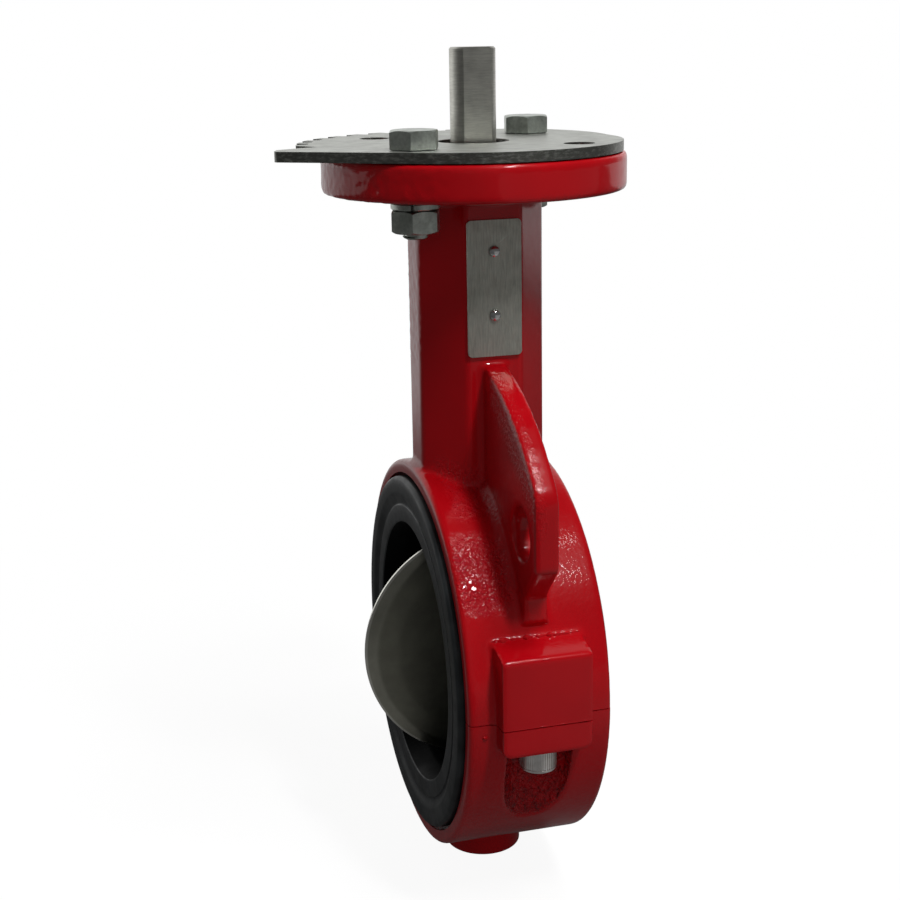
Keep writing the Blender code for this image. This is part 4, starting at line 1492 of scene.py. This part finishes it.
@dataclass
class DiscAndStem:
    """The one-piece disc and stem, a lens with a swelling along the stem and a double-D top end."""

    finishes: Finishes
    radius: float = 38.6 * MM
    tip: float = 1.4 * MM
    land: float = 5.0 * MM
    land_width: float = 4.0 * MM
    middle: float = 9.0 * MM
    swell: float = 18.0 * MM
    swell_half_width: float = 17.0 * MM
    hub: float = 9.5 * MM
    hub_height: float = 9.0 * MM
    stem: float = 6.9 * MM
    flats: float = 10.8 * MM
    stem_top: float = 188.6 * MM
    flats_foot: float = 158.2 * MM
    stub_foot: float = 65.6 * MM
    edge: float = 0.5 * MM
    fade_width: float = 6.0 * MM
    soft: float = 1.2 * MM
    stem_margin: float = 0.1 * MM
    rings: int = 44

    def thickness(self, y: float, z: float) -> float:
        """Return half the disc's thickness at a place on its plane.

        Args:
            y: the place along the flow.
            z: the place along the stem.

        Returns:
            Half the thickness there.
        """
        reach = math.hypot(y, z)
        inner = self.radius - self.land_width
        if reach > inner:
            share = (reach - inner) / self.land_width
            lens = (self.land + (self.tip - self.land) * share**1.5) / 2
        else:
            lens = (self.land + (self.middle - self.land) * (1 - (reach / inner) ** 2)) / 2
        along = min(1.0, abs(z) / self.radius)
        across = min(1.0, abs(y) / self.swell_half_width)
        bulge = self.swell / 2 * math.sqrt(max(0.0, 1 - along**2)) * math.cos(across * math.pi / 2) ** 2
        fade = min(1.0, max(0.0, (inner - reach) / self.fade_width))
        bulge *= eased(fade, 0.0, 1.0)
        blend = math.sqrt((lens - bulge) ** 2 + self.soft**2)
        return 0.5 * (lens + bulge + blend) - self.soft / 2 * (1 - fade)

    def lens(self) -> Shape:
        """Return the disc as a grid of rings, thickened on both sides.

        Returns:
            The closed lens, without its stem.
        """
        shape = bmesh.new()
        sides = FINE_SIDES
        turns = spread(0.0, math.pi / 2, self.rings + 1)[1:]
        reaches = [self.radius * math.sin(turn) for turn in turns]
        faces = []
        for sign in (1, -1):
            grid = [[shape.verts.new((sign * self.thickness(0, 0), 0, 0))]]
            for reach in reaches:
                row = []
                for side in range(sides):
                    turn = math.tau * side / sides
                    y = reach * math.cos(turn)
                    z = reach * math.sin(turn)
                    row.append(shape.verts.new((sign * self.thickness(y, z), y, z)))
                grid.append(row)
            faces.append(grid)
            for inner, outer in zip(grid, grid[1:]):
                for side in range(sides):
                    after = (side + 1) % sides
                    ring = [inner[side % len(inner)], inner[after % len(inner)], outer[after], outer[side]]
                    shape.faces.new(list(dict.fromkeys(ring)))
        near, far = faces[0][-1], faces[1][-1]
        for side in range(sides):
            after = (side + 1) % sides
            shape.faces.new((near[side], near[after], far[after], far[side]))
        return as_object("lens", shape)

    def build(self) -> None:
        """Make the disc and stem, mill the flats and dress them."""
        disc = self.lens()
        low = self.radius - self.hub_height
        hubs = [rod("upper hub", self.hub, low, self.radius, ROUND_SIDES)]
        hubs.append(rod("lower hub", self.hub, -self.radius, -low, ROUND_SIDES))
        rim = self.stem - self.edge
        profile = [(0, self.stem_top), (rim, self.stem_top), (self.stem, self.stem_top - self.edge)]
        profile += [(self.stem, self.edge - self.stub_foot), (rim, -self.stub_foot), (0, -self.stub_foot)]
        stem = turned("stem", profile, ROUND_SIDES)
        far = self.stem + OVERRUN
        flats = []
        for sign in (1, -1):
            near, reach = sorted((sign * self.flats / 2, sign * far))
            flats.append(block("flat", (near, -far, self.flats_foot), (reach, far, self.stem_top + OVERRUN)))
        worked(stem, Step.CUT, flats)
        worked(disc, Step.JOIN, [*hubs, stem])
        dressed(disc, "disc_and_stem", self.finishes.disc, 26)
        disc.data.materials.append(self.finishes.stem)
        for face in disc.data.polygons:
            on_stem = abs(face.center.z) > self.radius + self.stem_margin
            face.material_index = int(on_stem)
        seated(disc, "disc", Slot.STAINLESS, "disc_stem")


@dataclass
class NotchPlate:
    """The steel plate with ten notches and a stop tab on the top flange."""

    sizes: BodySizes
    finishes: Finishes
    foot: float = 158.2 * MM
    thickness: float = 3.0 * MM
    radius: float = 45.0 * MM
    sector: float = 53.2 * MM
    centre: float = 10.8 * MM
    notches: int = 10
    pitch: float = 10.0
    first: float = 166.0
    notch_depth: float = 3.6 * MM
    notch_width: float = 4.6 * MM
    sector_start: float = 138.0
    sector_end: float = 263.0
    blend_start: float = 96.0
    tab_reach: float = 64.0 * MM
    tab_angle: float = 281.3
    tab_width: float = 6.2 * MM
    tab_round: float = 2.2 * MM
    root_radius: float = 48.0 * MM
    root_angle: float = 271.0
    rim_points: int = 111
    blend_points: int = 21
    notch_taper: float = 0.7
    edge: float = 0.30 * MM

    @staticmethod
    def polar(radius: float, angle: float) -> Point:
        """Return the point at a radius and an angle in degrees."""
        return radius * math.cos(math.radians(angle)), radius * math.sin(math.radians(angle))

    def outline(self) -> list[Point]:
        """Return the plate's outline, anticlockwise from where the tab's front edge leaves it.

        Returns:
            The outline's points, in X and Y.
        """
        tip = self.polar(self.tab_reach, self.tab_angle)
        start = self.tab_angle + math.degrees(math.acos(self.radius / self.tab_reach)) - 360
        rim = spread(start, self.blend_start, self.rim_points)
        points = [self.polar(self.radius, angle) for angle in rim]
        radii = spread(self.radius, self.sector, self.blend_points)[1:]
        angles = spread(self.blend_start, self.sector_start, self.blend_points)[1:]
        points += [self.polar(radius, angle) for radius, angle in zip(radii, angles)]
        mouth = math.degrees(self.notch_width / 2 / self.sector)
        floor = self.sector - self.notch_depth
        inner = math.degrees(self.notch_width / 2 * self.notch_taper / floor)
        lead = (self.sector_start + self.first - mouth) / 2
        points.append(self.polar(self.sector, lead))
        for notch in range(self.notches):
            angle = self.first + notch * self.pitch
            points += [self.polar(self.sector, angle - mouth), self.polar(floor, angle - inner)]
            points += [self.polar(floor, angle + inner), self.polar(self.sector, angle + mouth)]
            if notch < self.notches - 1:
                points.append(self.polar(self.sector, angle + self.pitch / 2))
        points += [self.polar(self.sector, self.sector_end), self.polar(self.root_radius, self.root_angle)]
        back = (tip[0] - self.tab_width, tip[1] + self.tab_width / 3)
        corners = [(*points[-1], 0), (*back, self.tab_round), (*tip, self.tab_round), (*points[0], 0)]
        return points + rounded(corners, COARSE_FACET)[1:-1]

    def build(self) -> None:
        """Cut the plate out and dress it."""
        outlines = [self.outline(), circle(0, 0, self.centre, ROUND_SIDES)]
        outlines += [circle(x, y, self.sizes.hole) for x, y in self.sizes.hole_places()]
        plate = slab("plate", outlines, self.foot, self.foot + self.thickness)
        bevelled(plate, self.edge, 2, 40)
        evened(dressed(plate, "notched_plate", self.finishes.plate, 45))
        # the sides take the darker sheared steel: torn edge and painted shade
        plate.data.materials.append(self.finishes.sheared_shaded)
        for face in plate.data.polygons:
            face.material_index = int(abs(face.normal.z) < 0.5)
        seated(plate, "body", Slot.ZINC, "notch_plate")


class RepeatTree:
    """A Geometry Nodes tree with named inputs, which ends in Realize Instances and Set Material."""

    def __init__(self, name: str, inputs: dict[str, tuple[str, float]], material: bpy.types.Material) -> None:
        """Start the tree.

        Args:
            name: the tree's name.
            inputs: the socket type and the value of each named input.
            material: the material that everything it makes gets.
        """
        self.tree = bpy.data.node_groups.new(name, "GeometryNodeTree")
        self.values: dict[str, float] = {}
        self.tree.interface.new_socket("Geometry", in_out="OUTPUT", socket_type="NodeSocketGeometry")
        for label, (kind, value) in inputs.items():
            socket = self.tree.interface.new_socket(label, in_out="INPUT", socket_type=f"NodeSocket{kind}")
            self.values[socket.identifier] = value
        self.given = self.tree.nodes.new("NodeGroupInput")
        self.material = material

    def node(self, kind: str, links: dict, **settings: object) -> bpy.types.Node:
        """Add a node, with a value, an output socket or an input's name for each of its inputs.

        Args:
            kind: the node's full type.
            links: what each input gets, by name or number.
            settings: the node's own settings.

        Returns:
            The new node.
        """
        made = self.tree.nodes.new(kind)
        for key, value in settings.items():
            setattr(made, key, value)
        for key, value in links.items():
            if isinstance(value, str):
                value = self.given.outputs[value]
            if isinstance(value, Socket):
                self.tree.links.new(value, made.inputs[key])
            else:
                made.inputs[key].default_value = value
        return made

    def build(self, name: str, result: Socket) -> Shape:
        """Close the tree and turn what it makes into a plain mesh object.

        Args:
            name: the object's name.
            result: the socket that holds the repeated shapes.

        Returns:
            The object.
        """
        real = self.node("GeometryNodeRealizeInstances", {"Geometry": result})
        inked = self.node("GeometryNodeSetMaterial", {"Geometry": real.outputs[0], "Material": self.material})
        end = self.tree.nodes.new("NodeGroupOutput")
        self.tree.links.new(inked.outputs[0], end.inputs[0])
        made = linked(name, bpy.data.meshes.new(name))
        step = made.modifiers.new("repeat", "NODES")
        step.node_group = self.tree
        for identifier, value in self.values.items():
            step[identifier] = value
        return settled(made)


@dataclass
class Knurl:
    """Fine upright ridges round the head of a cap screw."""

    radius: float
    foot: float
    top: float
    material: bpy.types.Material
    count: int = 46
    width: float = 0.36 * MM
    proud: float = 0.60 * MM

    def build(self) -> Shape:
        """Return the ridges round the Z axis.

        Returns:
            The ridges as a plain mesh.
        """
        inputs = {
            "Count": ("Int", self.count),
            "Radius": ("Float", self.radius),
            "Width": ("Float", self.width),
            "Proud": ("Float", self.proud),
            "Height": ("Float", self.top - self.foot),
        }
        tree = RepeatTree("knurl", inputs, self.material)
        ring = tree.node("GeometryNodeMeshCircle", {"Vertices": "Count", "Radius": "Radius"})
        size = tree.node("ShaderNodeCombineXYZ", {"X": "Proud", "Y": "Width", "Z": "Height"})
        ridge = tree.node("GeometryNodeMeshCube", {"Size": size.outputs[0]})
        where = tree.node("GeometryNodeInputPosition", {})
        split = tree.node("ShaderNodeSeparateXYZ", {"Vector": where.outputs[0]})
        angle = tree.node("ShaderNodeMath", {0: split.outputs[1], 1: split.outputs[0]}, operation="ARCTAN2")
        turn = tree.node("ShaderNodeCombineXYZ", {"Z": angle.outputs[0]})
        links = {"Points": ring.outputs[0], "Instance": ridge.outputs["Mesh"], "Rotation": turn.outputs[0]}
        copies = tree.node("GeometryNodeInstanceOnPoints", links)
        made = tree.build("knurl", copies.outputs[0])
        return moved(made, z=(self.foot + self.top) / 2)


@dataclass
class Thread:
    """A helical thread on a screw's shank."""

    radius: float
    foot: float
    top: float
    pitch: float
    material: bpy.types.Material
    depth: float = 0.35 * MM

    def build(self) -> Shape:
        """Return the thread's ridge round the Z axis.

        Returns:
            The ridge as a plain mesh.
        """
        height = self.top - self.foot
        inputs = {
            "Turns": ("Float", height / self.pitch),
            "Radius": ("Float", self.radius - self.depth),
            "Height": ("Float", height),
            "Depth": ("Float", self.depth),
        }
        tree = RepeatTree("thread", inputs, self.material)
        links = {"Rotations": "Turns", "Start Radius": "Radius", "End Radius": "Radius", "Height": "Height"}
        helix = tree.node("GeometryNodeCurveSpiral", {"Resolution": 40, **links})
        section = tree.node("GeometryNodeCurvePrimitiveCircle", {"Resolution": 4, "Radius": "Depth"})
        swept = tree.node(
            "GeometryNodeCurveToMesh",
            {"Curve": helix.outputs[0], "Profile Curve": section.outputs[0], "Fill Caps": True},
        )
        return moved(tree.build("thread", swept.outputs[0]), z=self.foot)


@dataclass
class PlateFastener:
    """A hexagon bolt that holds the notch plate, with its lock washer and nut."""

    sizes: BodySizes
    finishes: Finishes
    which: str
    x: float
    y: float
    turn: float
    flats: float = 13.0 * MM
    chamfer: float = 0.9 * MM
    head: float = 5.3 * MM
    nut: float = 6.5 * MM
    shank: float = 3.9 * MM
    pitch: float = 1.25 * MM
    washer: float = 7.1 * MM
    washer_height: float = 1.8 * MM
    slit: float = 1.0 * MM
    tip: float = 1.8 * MM
    plate_top: float = 161.2 * MM
    edge: float = 0.16 * MM
    face_inset: float = 0.2 * MM
    chamfer_steps: int = 5
    chamfer_curve: float = 1.4
    thread_depth: float = 0.45 * MM
    thread_start: float = 0.5 * MM
    tip_chamfer: float = 0.6 * MM
    washer_edge: float = 0.25 * MM

    def hexagon(self, name: str, foot: float, top: float, both: bool) -> Shape:
        """Return a hexagon whose corners are turned off at the top, and at the foot where asked.

        Args:
            name: the object's name.
            foot: the height of its underside.
            top: the height of its top.
            both: whether the corners at its foot are turned off too.

        Returns:
            The hexagon.
        """
        flat = self.flats / 2
        corner = flat / math.cos(math.pi / 6)
        far = corner + GAP
        face = flat - self.face_inset
        blank = rod(name, corner, foot, top, HEX_SIDES)
        profile = [(0, top + GAP), (face, top + GAP)]
        for share in spread(0.0, 1.0, self.chamfer_steps + 1):
            profile.append((face + (far - face) * share, top - self.chamfer * share**self.chamfer_curve))
        if both:
            profile += [(far, foot + self.chamfer), (face, foot), (face, foot - GAP), (0, foot - GAP)]
        else:
            profile += [(far, foot - GAP), (0, foot - GAP)]
        worked(blank, Step.TRIM, [turned("chamfer", profile, ROUND_SIDES)])
        return bevelled(blank, self.edge, 2, 25)

    def stand(self, item: Shape) -> Shape:
        """Turn a fastener and stand it at its place, in its mesh."""
        turned_by(item, self.turn, Axis.Z)
        return moved(item, self.x, self.y)

    def build(self) -> None:
        """Make the bolt, the washer and the nut, and dress them."""
        zinc = self.finishes.bolt
        head_foot = self.plate_top + GAP
        head_top = head_foot + self.head
        washer_top = self.sizes.flange_foot - GAP
        washer_foot = washer_top - self.washer_height
        nut_top = washer_foot - GAP
        nut_foot = nut_top - self.nut
        end = nut_foot - self.tip
        head = self.hexagon("head", head_foot, head_top, False)
        core = self.shank - self.thread_depth
        start = head_foot + GAP
        lead = self.tip_chamfer
        profile = [(0, start), (core, start), (core, end + lead), (core - lead, end), (0, end)]
        shank = turned("shank", profile, SMALL_SIDES)
        thread_foot = end + self.thread_start
        thread = Thread(self.shank, thread_foot, head_foot - self.pitch, self.pitch, zinc).build()
        bolt = self.stand(combined("bolt", [head, shank, thread]))
        evened(dressed(bolt, f"hex_bolt_{self.which}", zinc, 50))
        seated(bolt, "body", Slot.ZINC, f"plate_bolt_{self.which}")
        bore = self.shank + GAP
        edge = self.washer_edge
        ring = [(self.washer - edge, washer_top), (self.washer, washer_top - edge)]
        ring += [(self.washer, washer_foot + edge), (self.washer - edge, washer_foot)]
        ring += [(bore, washer_foot), (bore, washer_top)]
        washer = turned("washer", ring, ROUND_SIDES, True)
        low = (0, -self.slit / 2, washer_foot - OVERRUN)
        high = (self.washer + OVERRUN, self.slit / 2, washer_top + OVERRUN)
        worked(washer, Step.CUT, [block("slit", low, high)])
        dressed(self.stand(washer), f"spring_washer_{self.which}", zinc, 28)
        seated(washer, "body", Slot.ZINC, f"lock_washer_{self.which}")
        nut = self.hexagon("nut", nut_foot, nut_top, True)
        worked(nut, Step.CUT, [rod("nut bore", bore, nut_foot - OVERRUN, nut_top + OVERRUN)])
        evened(dressed(self.stand(nut), f"hex_nut_{self.which}", zinc, 50))
        seated(nut, "body", Slot.ZINC, f"plate_nut_{self.which}")


@dataclass
class BodyBolt:
    """A knurled cap screw that draws the two body halves together."""

    sizes: BodySizes
    finishes: Finishes
    which: str
    side: int
    head: float = 5.4 * MM
    height: float = 8.0 * MM
    length: float = 23.0 * MM
    shank: float = 3.0 * MM
    socket: float = 5.0 * MM
    socket_depth: float = 4.0 * MM
    edge: float = 0.55 * MM
    ridge: float = 0.30 * MM
    ridge_lead: float = 0.2 * MM
    plain_band: float = 0.5 * MM

    def build(self) -> None:
        """Make the screw with its knurled head and dress it."""
        top = -self.sizes.lower_lug - GAP
        foot = top - self.height
        rim = self.head - self.edge
        core = self.head - self.ridge
        end = top + self.length - GAP
        ridge_foot = foot + self.edge + self.plain_band
        profile = [(0, end), (self.shank, end), (self.shank, top), (core, top), (core, ridge_foot)]
        profile += [(self.head, ridge_foot - self.ridge_lead)]
        profile += [*arc((rim, foot + self.edge), self.edge, 0, -90, 4), (0, foot)]
        screw = turned("screw", profile, ROUND_SIDES)
        corner = self.socket / 2 / math.cos(math.pi / 6)
        socket = rod("socket", corner, foot - OVERRUN, foot + self.socket_depth, HEX_SIDES)
        worked(screw, Step.CUT, [socket])
        ridges = Knurl(core, ridge_foot, top - self.ridge_lead, self.finishes.screw).build()
        whole = moved(combined("screw", [screw, ridges]), self.side * self.sizes.bolt_place)
        dressed(whole, f"cap_screw_{self.which}", self.finishes.screw, 28)
        seated(whole, "body", Slot.ZINC, f"body_bolt_{self.which}")


@dataclass
class Nameplate:
    """The bare steel tag on the neck, with two domed drive pins."""

    sizes: BodySizes
    finishes: Finishes
    width: float = 16.7 * MM
    height: float = 40.7 * MM
    thickness: float = 0.7 * MM
    corner: float = 1.3 * MM
    middle: float = 119.5 * MM
    edge: float = 0.14 * MM
    pin_offsets: Point = (11.0 * MM, -8.0 * MM)
    pin_head: float = 1.7 * MM
    pin_height: float = 1.0 * MM
    pin_shank: float = 0.9 * MM
    pin_length: float = 5.7 * MM
    dome_steps: int = 8

    def build(self) -> None:
        """Make the tag and its pins, and dress them."""
        foot = self.sizes.neck_half_width + GAP
        half_width = self.width / 2
        half_height = self.height / 2
        signs = ((-1, -1), (1, -1), (1, 1), (-1, 1))
        corners = [(x * half_width, y * half_height, self.corner) for x, y in signs]
        outlines = [rounded(corners, COARSE_FACET)]
        outlines += [circle(0, offset, self.pin_shank + GAP) for offset in self.pin_offsets]
        tag = slab("tag", outlines, foot, foot + self.thickness)
        bevelled(tag, self.edge, 2, 40)
        upright = Matrix(((0, 0, 1, 0), (1, 0, 0, 0), (0, 1, 0, 0), (0, 0, 0, 1)))
        tag.data.transform(upright)
        moved(tag, z=self.middle)
        evened(dressed(tag, "name_tag", self.finishes.tag, 45))
        seated(tag, "body", Slot.PLATE, "nameplate")
        head_foot = foot + self.thickness + GAP
        for which, offset in zip(("upper", "lower"), self.pin_offsets):
            turns = spread(0.0, math.pi / 2, self.dome_steps + 1)
            dome = [(self.pin_head * math.sin(t), self.pin_height * math.cos(t)) for t in turns]
            profile = [(0, self.pin_height), *dome[1:], (self.pin_shank, 0)]
            profile += [(self.pin_shank, -self.pin_length), (0, -self.pin_length)]
            pin = laid(turned("pin", profile, SMALL_SIDES), Axis.X)
            moved(pin, head_foot, 0, self.middle + offset)
            dressed(pin, f"drive_pin_{which}", self.finishes.pin, 40)
            seated(pin, "body", Slot.PLATE, f"nameplate_pin_{which}")


def facing(azimuth: float, elevation: float) -> Vector:
    """Return the direction from the valve to what stands at an azimuth and an elevation, in degrees.

    Args:
        azimuth: how far round from -Y towards +X it stands.
        elevation: how far up it stands.

    Returns:
        A direction of length 1.
    """
    a = math.radians(azimuth)
    e = math.radians(elevation)
    return Vector((math.sin(a) * math.cos(e), -math.cos(a) * math.cos(e), math.sin(e)))


@dataclass(frozen=True)
class Lamp:
    """A soft area lamp that faces the valve, hung by its azimuth, elevation and reach.

    The size is its width and height, and mirrored_in says whether glossy surfaces mirror it.
    """

    name: str
    azimuth: float
    elevation: float
    reach: float
    size: Point
    watts: float
    mirrored_in: bool = True

    def hang(self, aim: Vector) -> None:
        """Hang the lamp so that it faces a point.

        Args:
            aim: the point that it faces.
        """
        data = bpy.data.lights.new(self.name, "AREA")
        data.shape = "RECTANGLE"
        data.size, data.size_y = self.size
        data.energy = self.watts
        made = linked(self.name, data)
        made.visible_glossy = self.mirrored_in
        back = facing(self.azimuth, self.elevation)
        turn = back.to_track_quat("Z", "Y").to_matrix().to_4x4()
        made.matrix_world = Matrix.Translation(aim + back * self.reach) @ turn


@dataclass
class Studio:
    """The pale floor, the soft lights and the camera at the photograph's place.

    What glossy surfaces mirror is dim, apart from a bright sheet behind the valve, on the -X side.
    """

    floor_height: float = -71.3 * MM
    floor_reach: float = 6.0
    fade_start: float = 0.12
    fade_end: float = 0.40
    floor_tone: float = 0.10
    near_glow: float = 0.93
    floor_dim: float = 0.07
    floor_bright: float = 0.70
    floor_beside: float = 0.14
    floor_shade: float = 0.6
    behind: Point = (-0.40, -0.70)
    aside: Point = (-0.02, 0.10)
    ahead: Point = (0.05, 0.16)
    near: Point = (0.07, 0.22)
    wall_start: float = -0.35
    wall_end: float = -0.80
    wall_dim: float = 0.10
    wall_bright: float = 1.05
    aim: Corner = (-2.32 * MM, -8.40 * MM, 65.04 * MM)
    distance: float = 0.49753
    azimuth: float = 74.558
    elevation: float = 15.229
    roll: float = -1.059
    lens: float = 62.878
    sensor: float = 36.0
    clip: Point = (0.01, 50.0)
    lamps: tuple[Lamp, ...] = (
        Lamp("overhead", 130, 68, 1.1, (0.35, 0.35), 3.4, False),
        Lamp("spark", 132, 69, 1.1, (0.13, 0.13), 1.4),
        Lamp("key", 110, 55, 1.2, (0.10, 0.27), 7.0),
        Lamp("left", -50, 22, 1.2, (0.5, 1.1), 0.3),
        Lamp("front", 82, 12, 1.3, (0.9, 0.9), 2.6, False),
    )

    def camera(self) -> None:
        """Place the camera."""
        data = bpy.data.cameras.new("camera")
        data.lens = self.lens
        data.sensor_width = self.sensor
        data.clip_start, data.clip_end = self.clip
        made = linked("camera", data)
        back = facing(self.azimuth, self.elevation)
        round_z = math.radians(self.azimuth)
        level = Vector((math.cos(round_z), math.sin(round_z), 0))
        up = back.cross(level)
        roll = math.radians(self.roll)
        right = level * math.cos(roll) + up * math.sin(roll)
        above = back.cross(right)
        turn = Matrix((right, above, back)).transposed().to_4x4()
        made.matrix_world = Matrix.Translation(Vector(self.aim) + back * self.distance) @ turn
        bpy.context.scene.camera = made

    def world(self) -> None:
        """Give the scene a backdrop that the camera sees as white, and that lights the valve only softly."""
        world = bpy.data.worlds.new("studio")
        world.use_nodes = True
        world.node_tree.nodes.clear()
        tree = Tree(world.node_tree)
        where = tree.node("TexCoord", {}).outputs["Generated"]
        depth = tree.node("SeparateXYZ", {"Vector": where}).outputs["X"]
        sheet = tree.ramp(depth, self.wall_start, self.wall_end, self.wall_dim, self.wall_bright)
        felt = tree.node("Background", {"Strength": sheet}).outputs[0]
        seen = tree.node("Background", {"Color": grey(1.0), "Strength": 1.0}).outputs[0]
        by_camera = tree.node("LightPath", {}).outputs["Is Camera Ray"]
        both = tree.node("MixShader", {0: by_camera, 1: felt, 2: seen}).outputs[0]
        tree.node("OutputWorld", {"Surface": both})
        bpy.context.scene.world = world

    def floor(self) -> None:
        """Lay the pale floor."""
        reach = self.floor_reach
        shape = bmesh.new()
        bmesh.ops.create_grid(shape, x_segments=1, y_segments=1, size=reach)
        bmesh.ops.translate(shape, verts=shape.verts, vec=(0, 0, self.floor_height))
        made = as_object("floor", shape, outwards=False)
        made.data.materials.append(self.floor_material())

    def floor_material(self) -> bpy.types.Material:
        """Return the floor's pale matt finish, which glows: to the camera it fades into the white backdrop
        away from the valve, and towards the valve it glows brighter behind it and dimmer near it, as a
        painted contact shadow.

        Returns:
            The material.
        """
        graph = Graph("pale floor")
        where = graph.node("TexCoord", {}).outputs["Object"]
        flat = graph.node("Mapping", {"Vector": where, "Scale": (1, 1, 0)}).outputs["Vector"]
        reach = graph.node("VectorMath", {0: flat}, operation="LENGTH").outputs["Value"]
        away = graph.ramp(reach, self.fade_start, self.fade_end)
        glow = graph.math("ADD", graph.math("MULTIPLY", away, 1 - self.near_glow), self.near_glow)
        sides = graph.node("SeparateXYZ", {"Vector": where})
        depth = sides.outputs["X"]
        across = sides.outputs["Y"]
        behind = graph.ramp(depth, *self.behind, self.floor_dim, self.floor_bright)
        beside = graph.math("MULTIPLY", graph.ramp(across, *self.aside), graph.ramp(depth, *self.ahead))
        sheet = graph.math("ADD", behind, graph.math("MULTIPLY", beside, self.floor_beside))
        # painted shadow: the floor's glow dims near the valve
        felt = graph.math("MULTIPLY", sheet, graph.ramp(reach, *self.near, self.floor_shade, 1.0))
        seen = graph.node("LightPath", {}).outputs["Is Camera Ray"]
        both = graph.node("Mix", {"Factor": seen, "A": felt, "B": glow}).outputs["Result"]
        return graph.finish(
            Base_Color=graph.mix(away, grey(self.floor_tone), grey(0.0)),
            Roughness=1.0,
            Specular_IOR_Level=0.0,
            Emission_Color=grey(1.0),
            Emission_Strength=both,
        )

    def build(self) -> None:
        """Set up the studio."""
        self.world()
        self.floor()
        self.camera()
        for lamp in self.lamps:
            lamp.hang(Vector(self.aim))
        bpy.context.scene.view_settings.view_transform = "Standard"


@dataclass
class Valve:
    """The whole valve: what is dressed, and the inner pieces that keep their own shape."""

    nodes: dict[str, Shape]
    finishes: Finishes = field(default_factory=Finishes)
    front_turn: float = -21.0
    rear_turn: float = -13.0

    def build(self) -> None:
        """Build and dress every piece."""
        sizes = BodySizes()
        place = sizes.hole_place
        skin = CastSkin(sizes)
        UpperBody(sizes, self.finishes, skin).build()
        LowerBody(sizes, self.finishes, skin).build()
        Seat(sizes, self.finishes).build()
        DiscAndStem(self.finishes).build()
        NotchPlate(sizes, self.finishes).build()
        PlateFastener(sizes, self.finishes, "front", place, -place, math.radians(self.front_turn)).build()
        PlateFastener(sizes, self.finishes, "rear", -place, place, math.radians(self.rear_turn)).build()
        BodyBolt(sizes, self.finishes, "near", 1).build()
        BodyBolt(sizes, self.finishes, "far", -1).build()
        Nameplate(sizes, self.finishes).build()
        self.dress_inner()

    def dress_inner(self) -> None:
        """Give the bushes and the stem seal their finish."""
        inner = {
            "upper_bushing": self.finishes.bronze,
            "lower_bushing": self.finishes.bronze,
            "stem_seal": self.finishes.rubber,
        }
        for name, material in inner.items():
            node = self.nodes[name]
            node.data.materials.clear()
            node.data.materials.append(material)
            LOG.info("%s keeps its own shape", name)


def main() -> None:
    """Load the frame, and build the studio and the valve."""
    logging.basicConfig(level=logging.INFO, format="%(message)s")
    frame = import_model()
    Studio().build()
    Valve(frame["nodes"]).build()


if __name__ == "__main__":
    main()
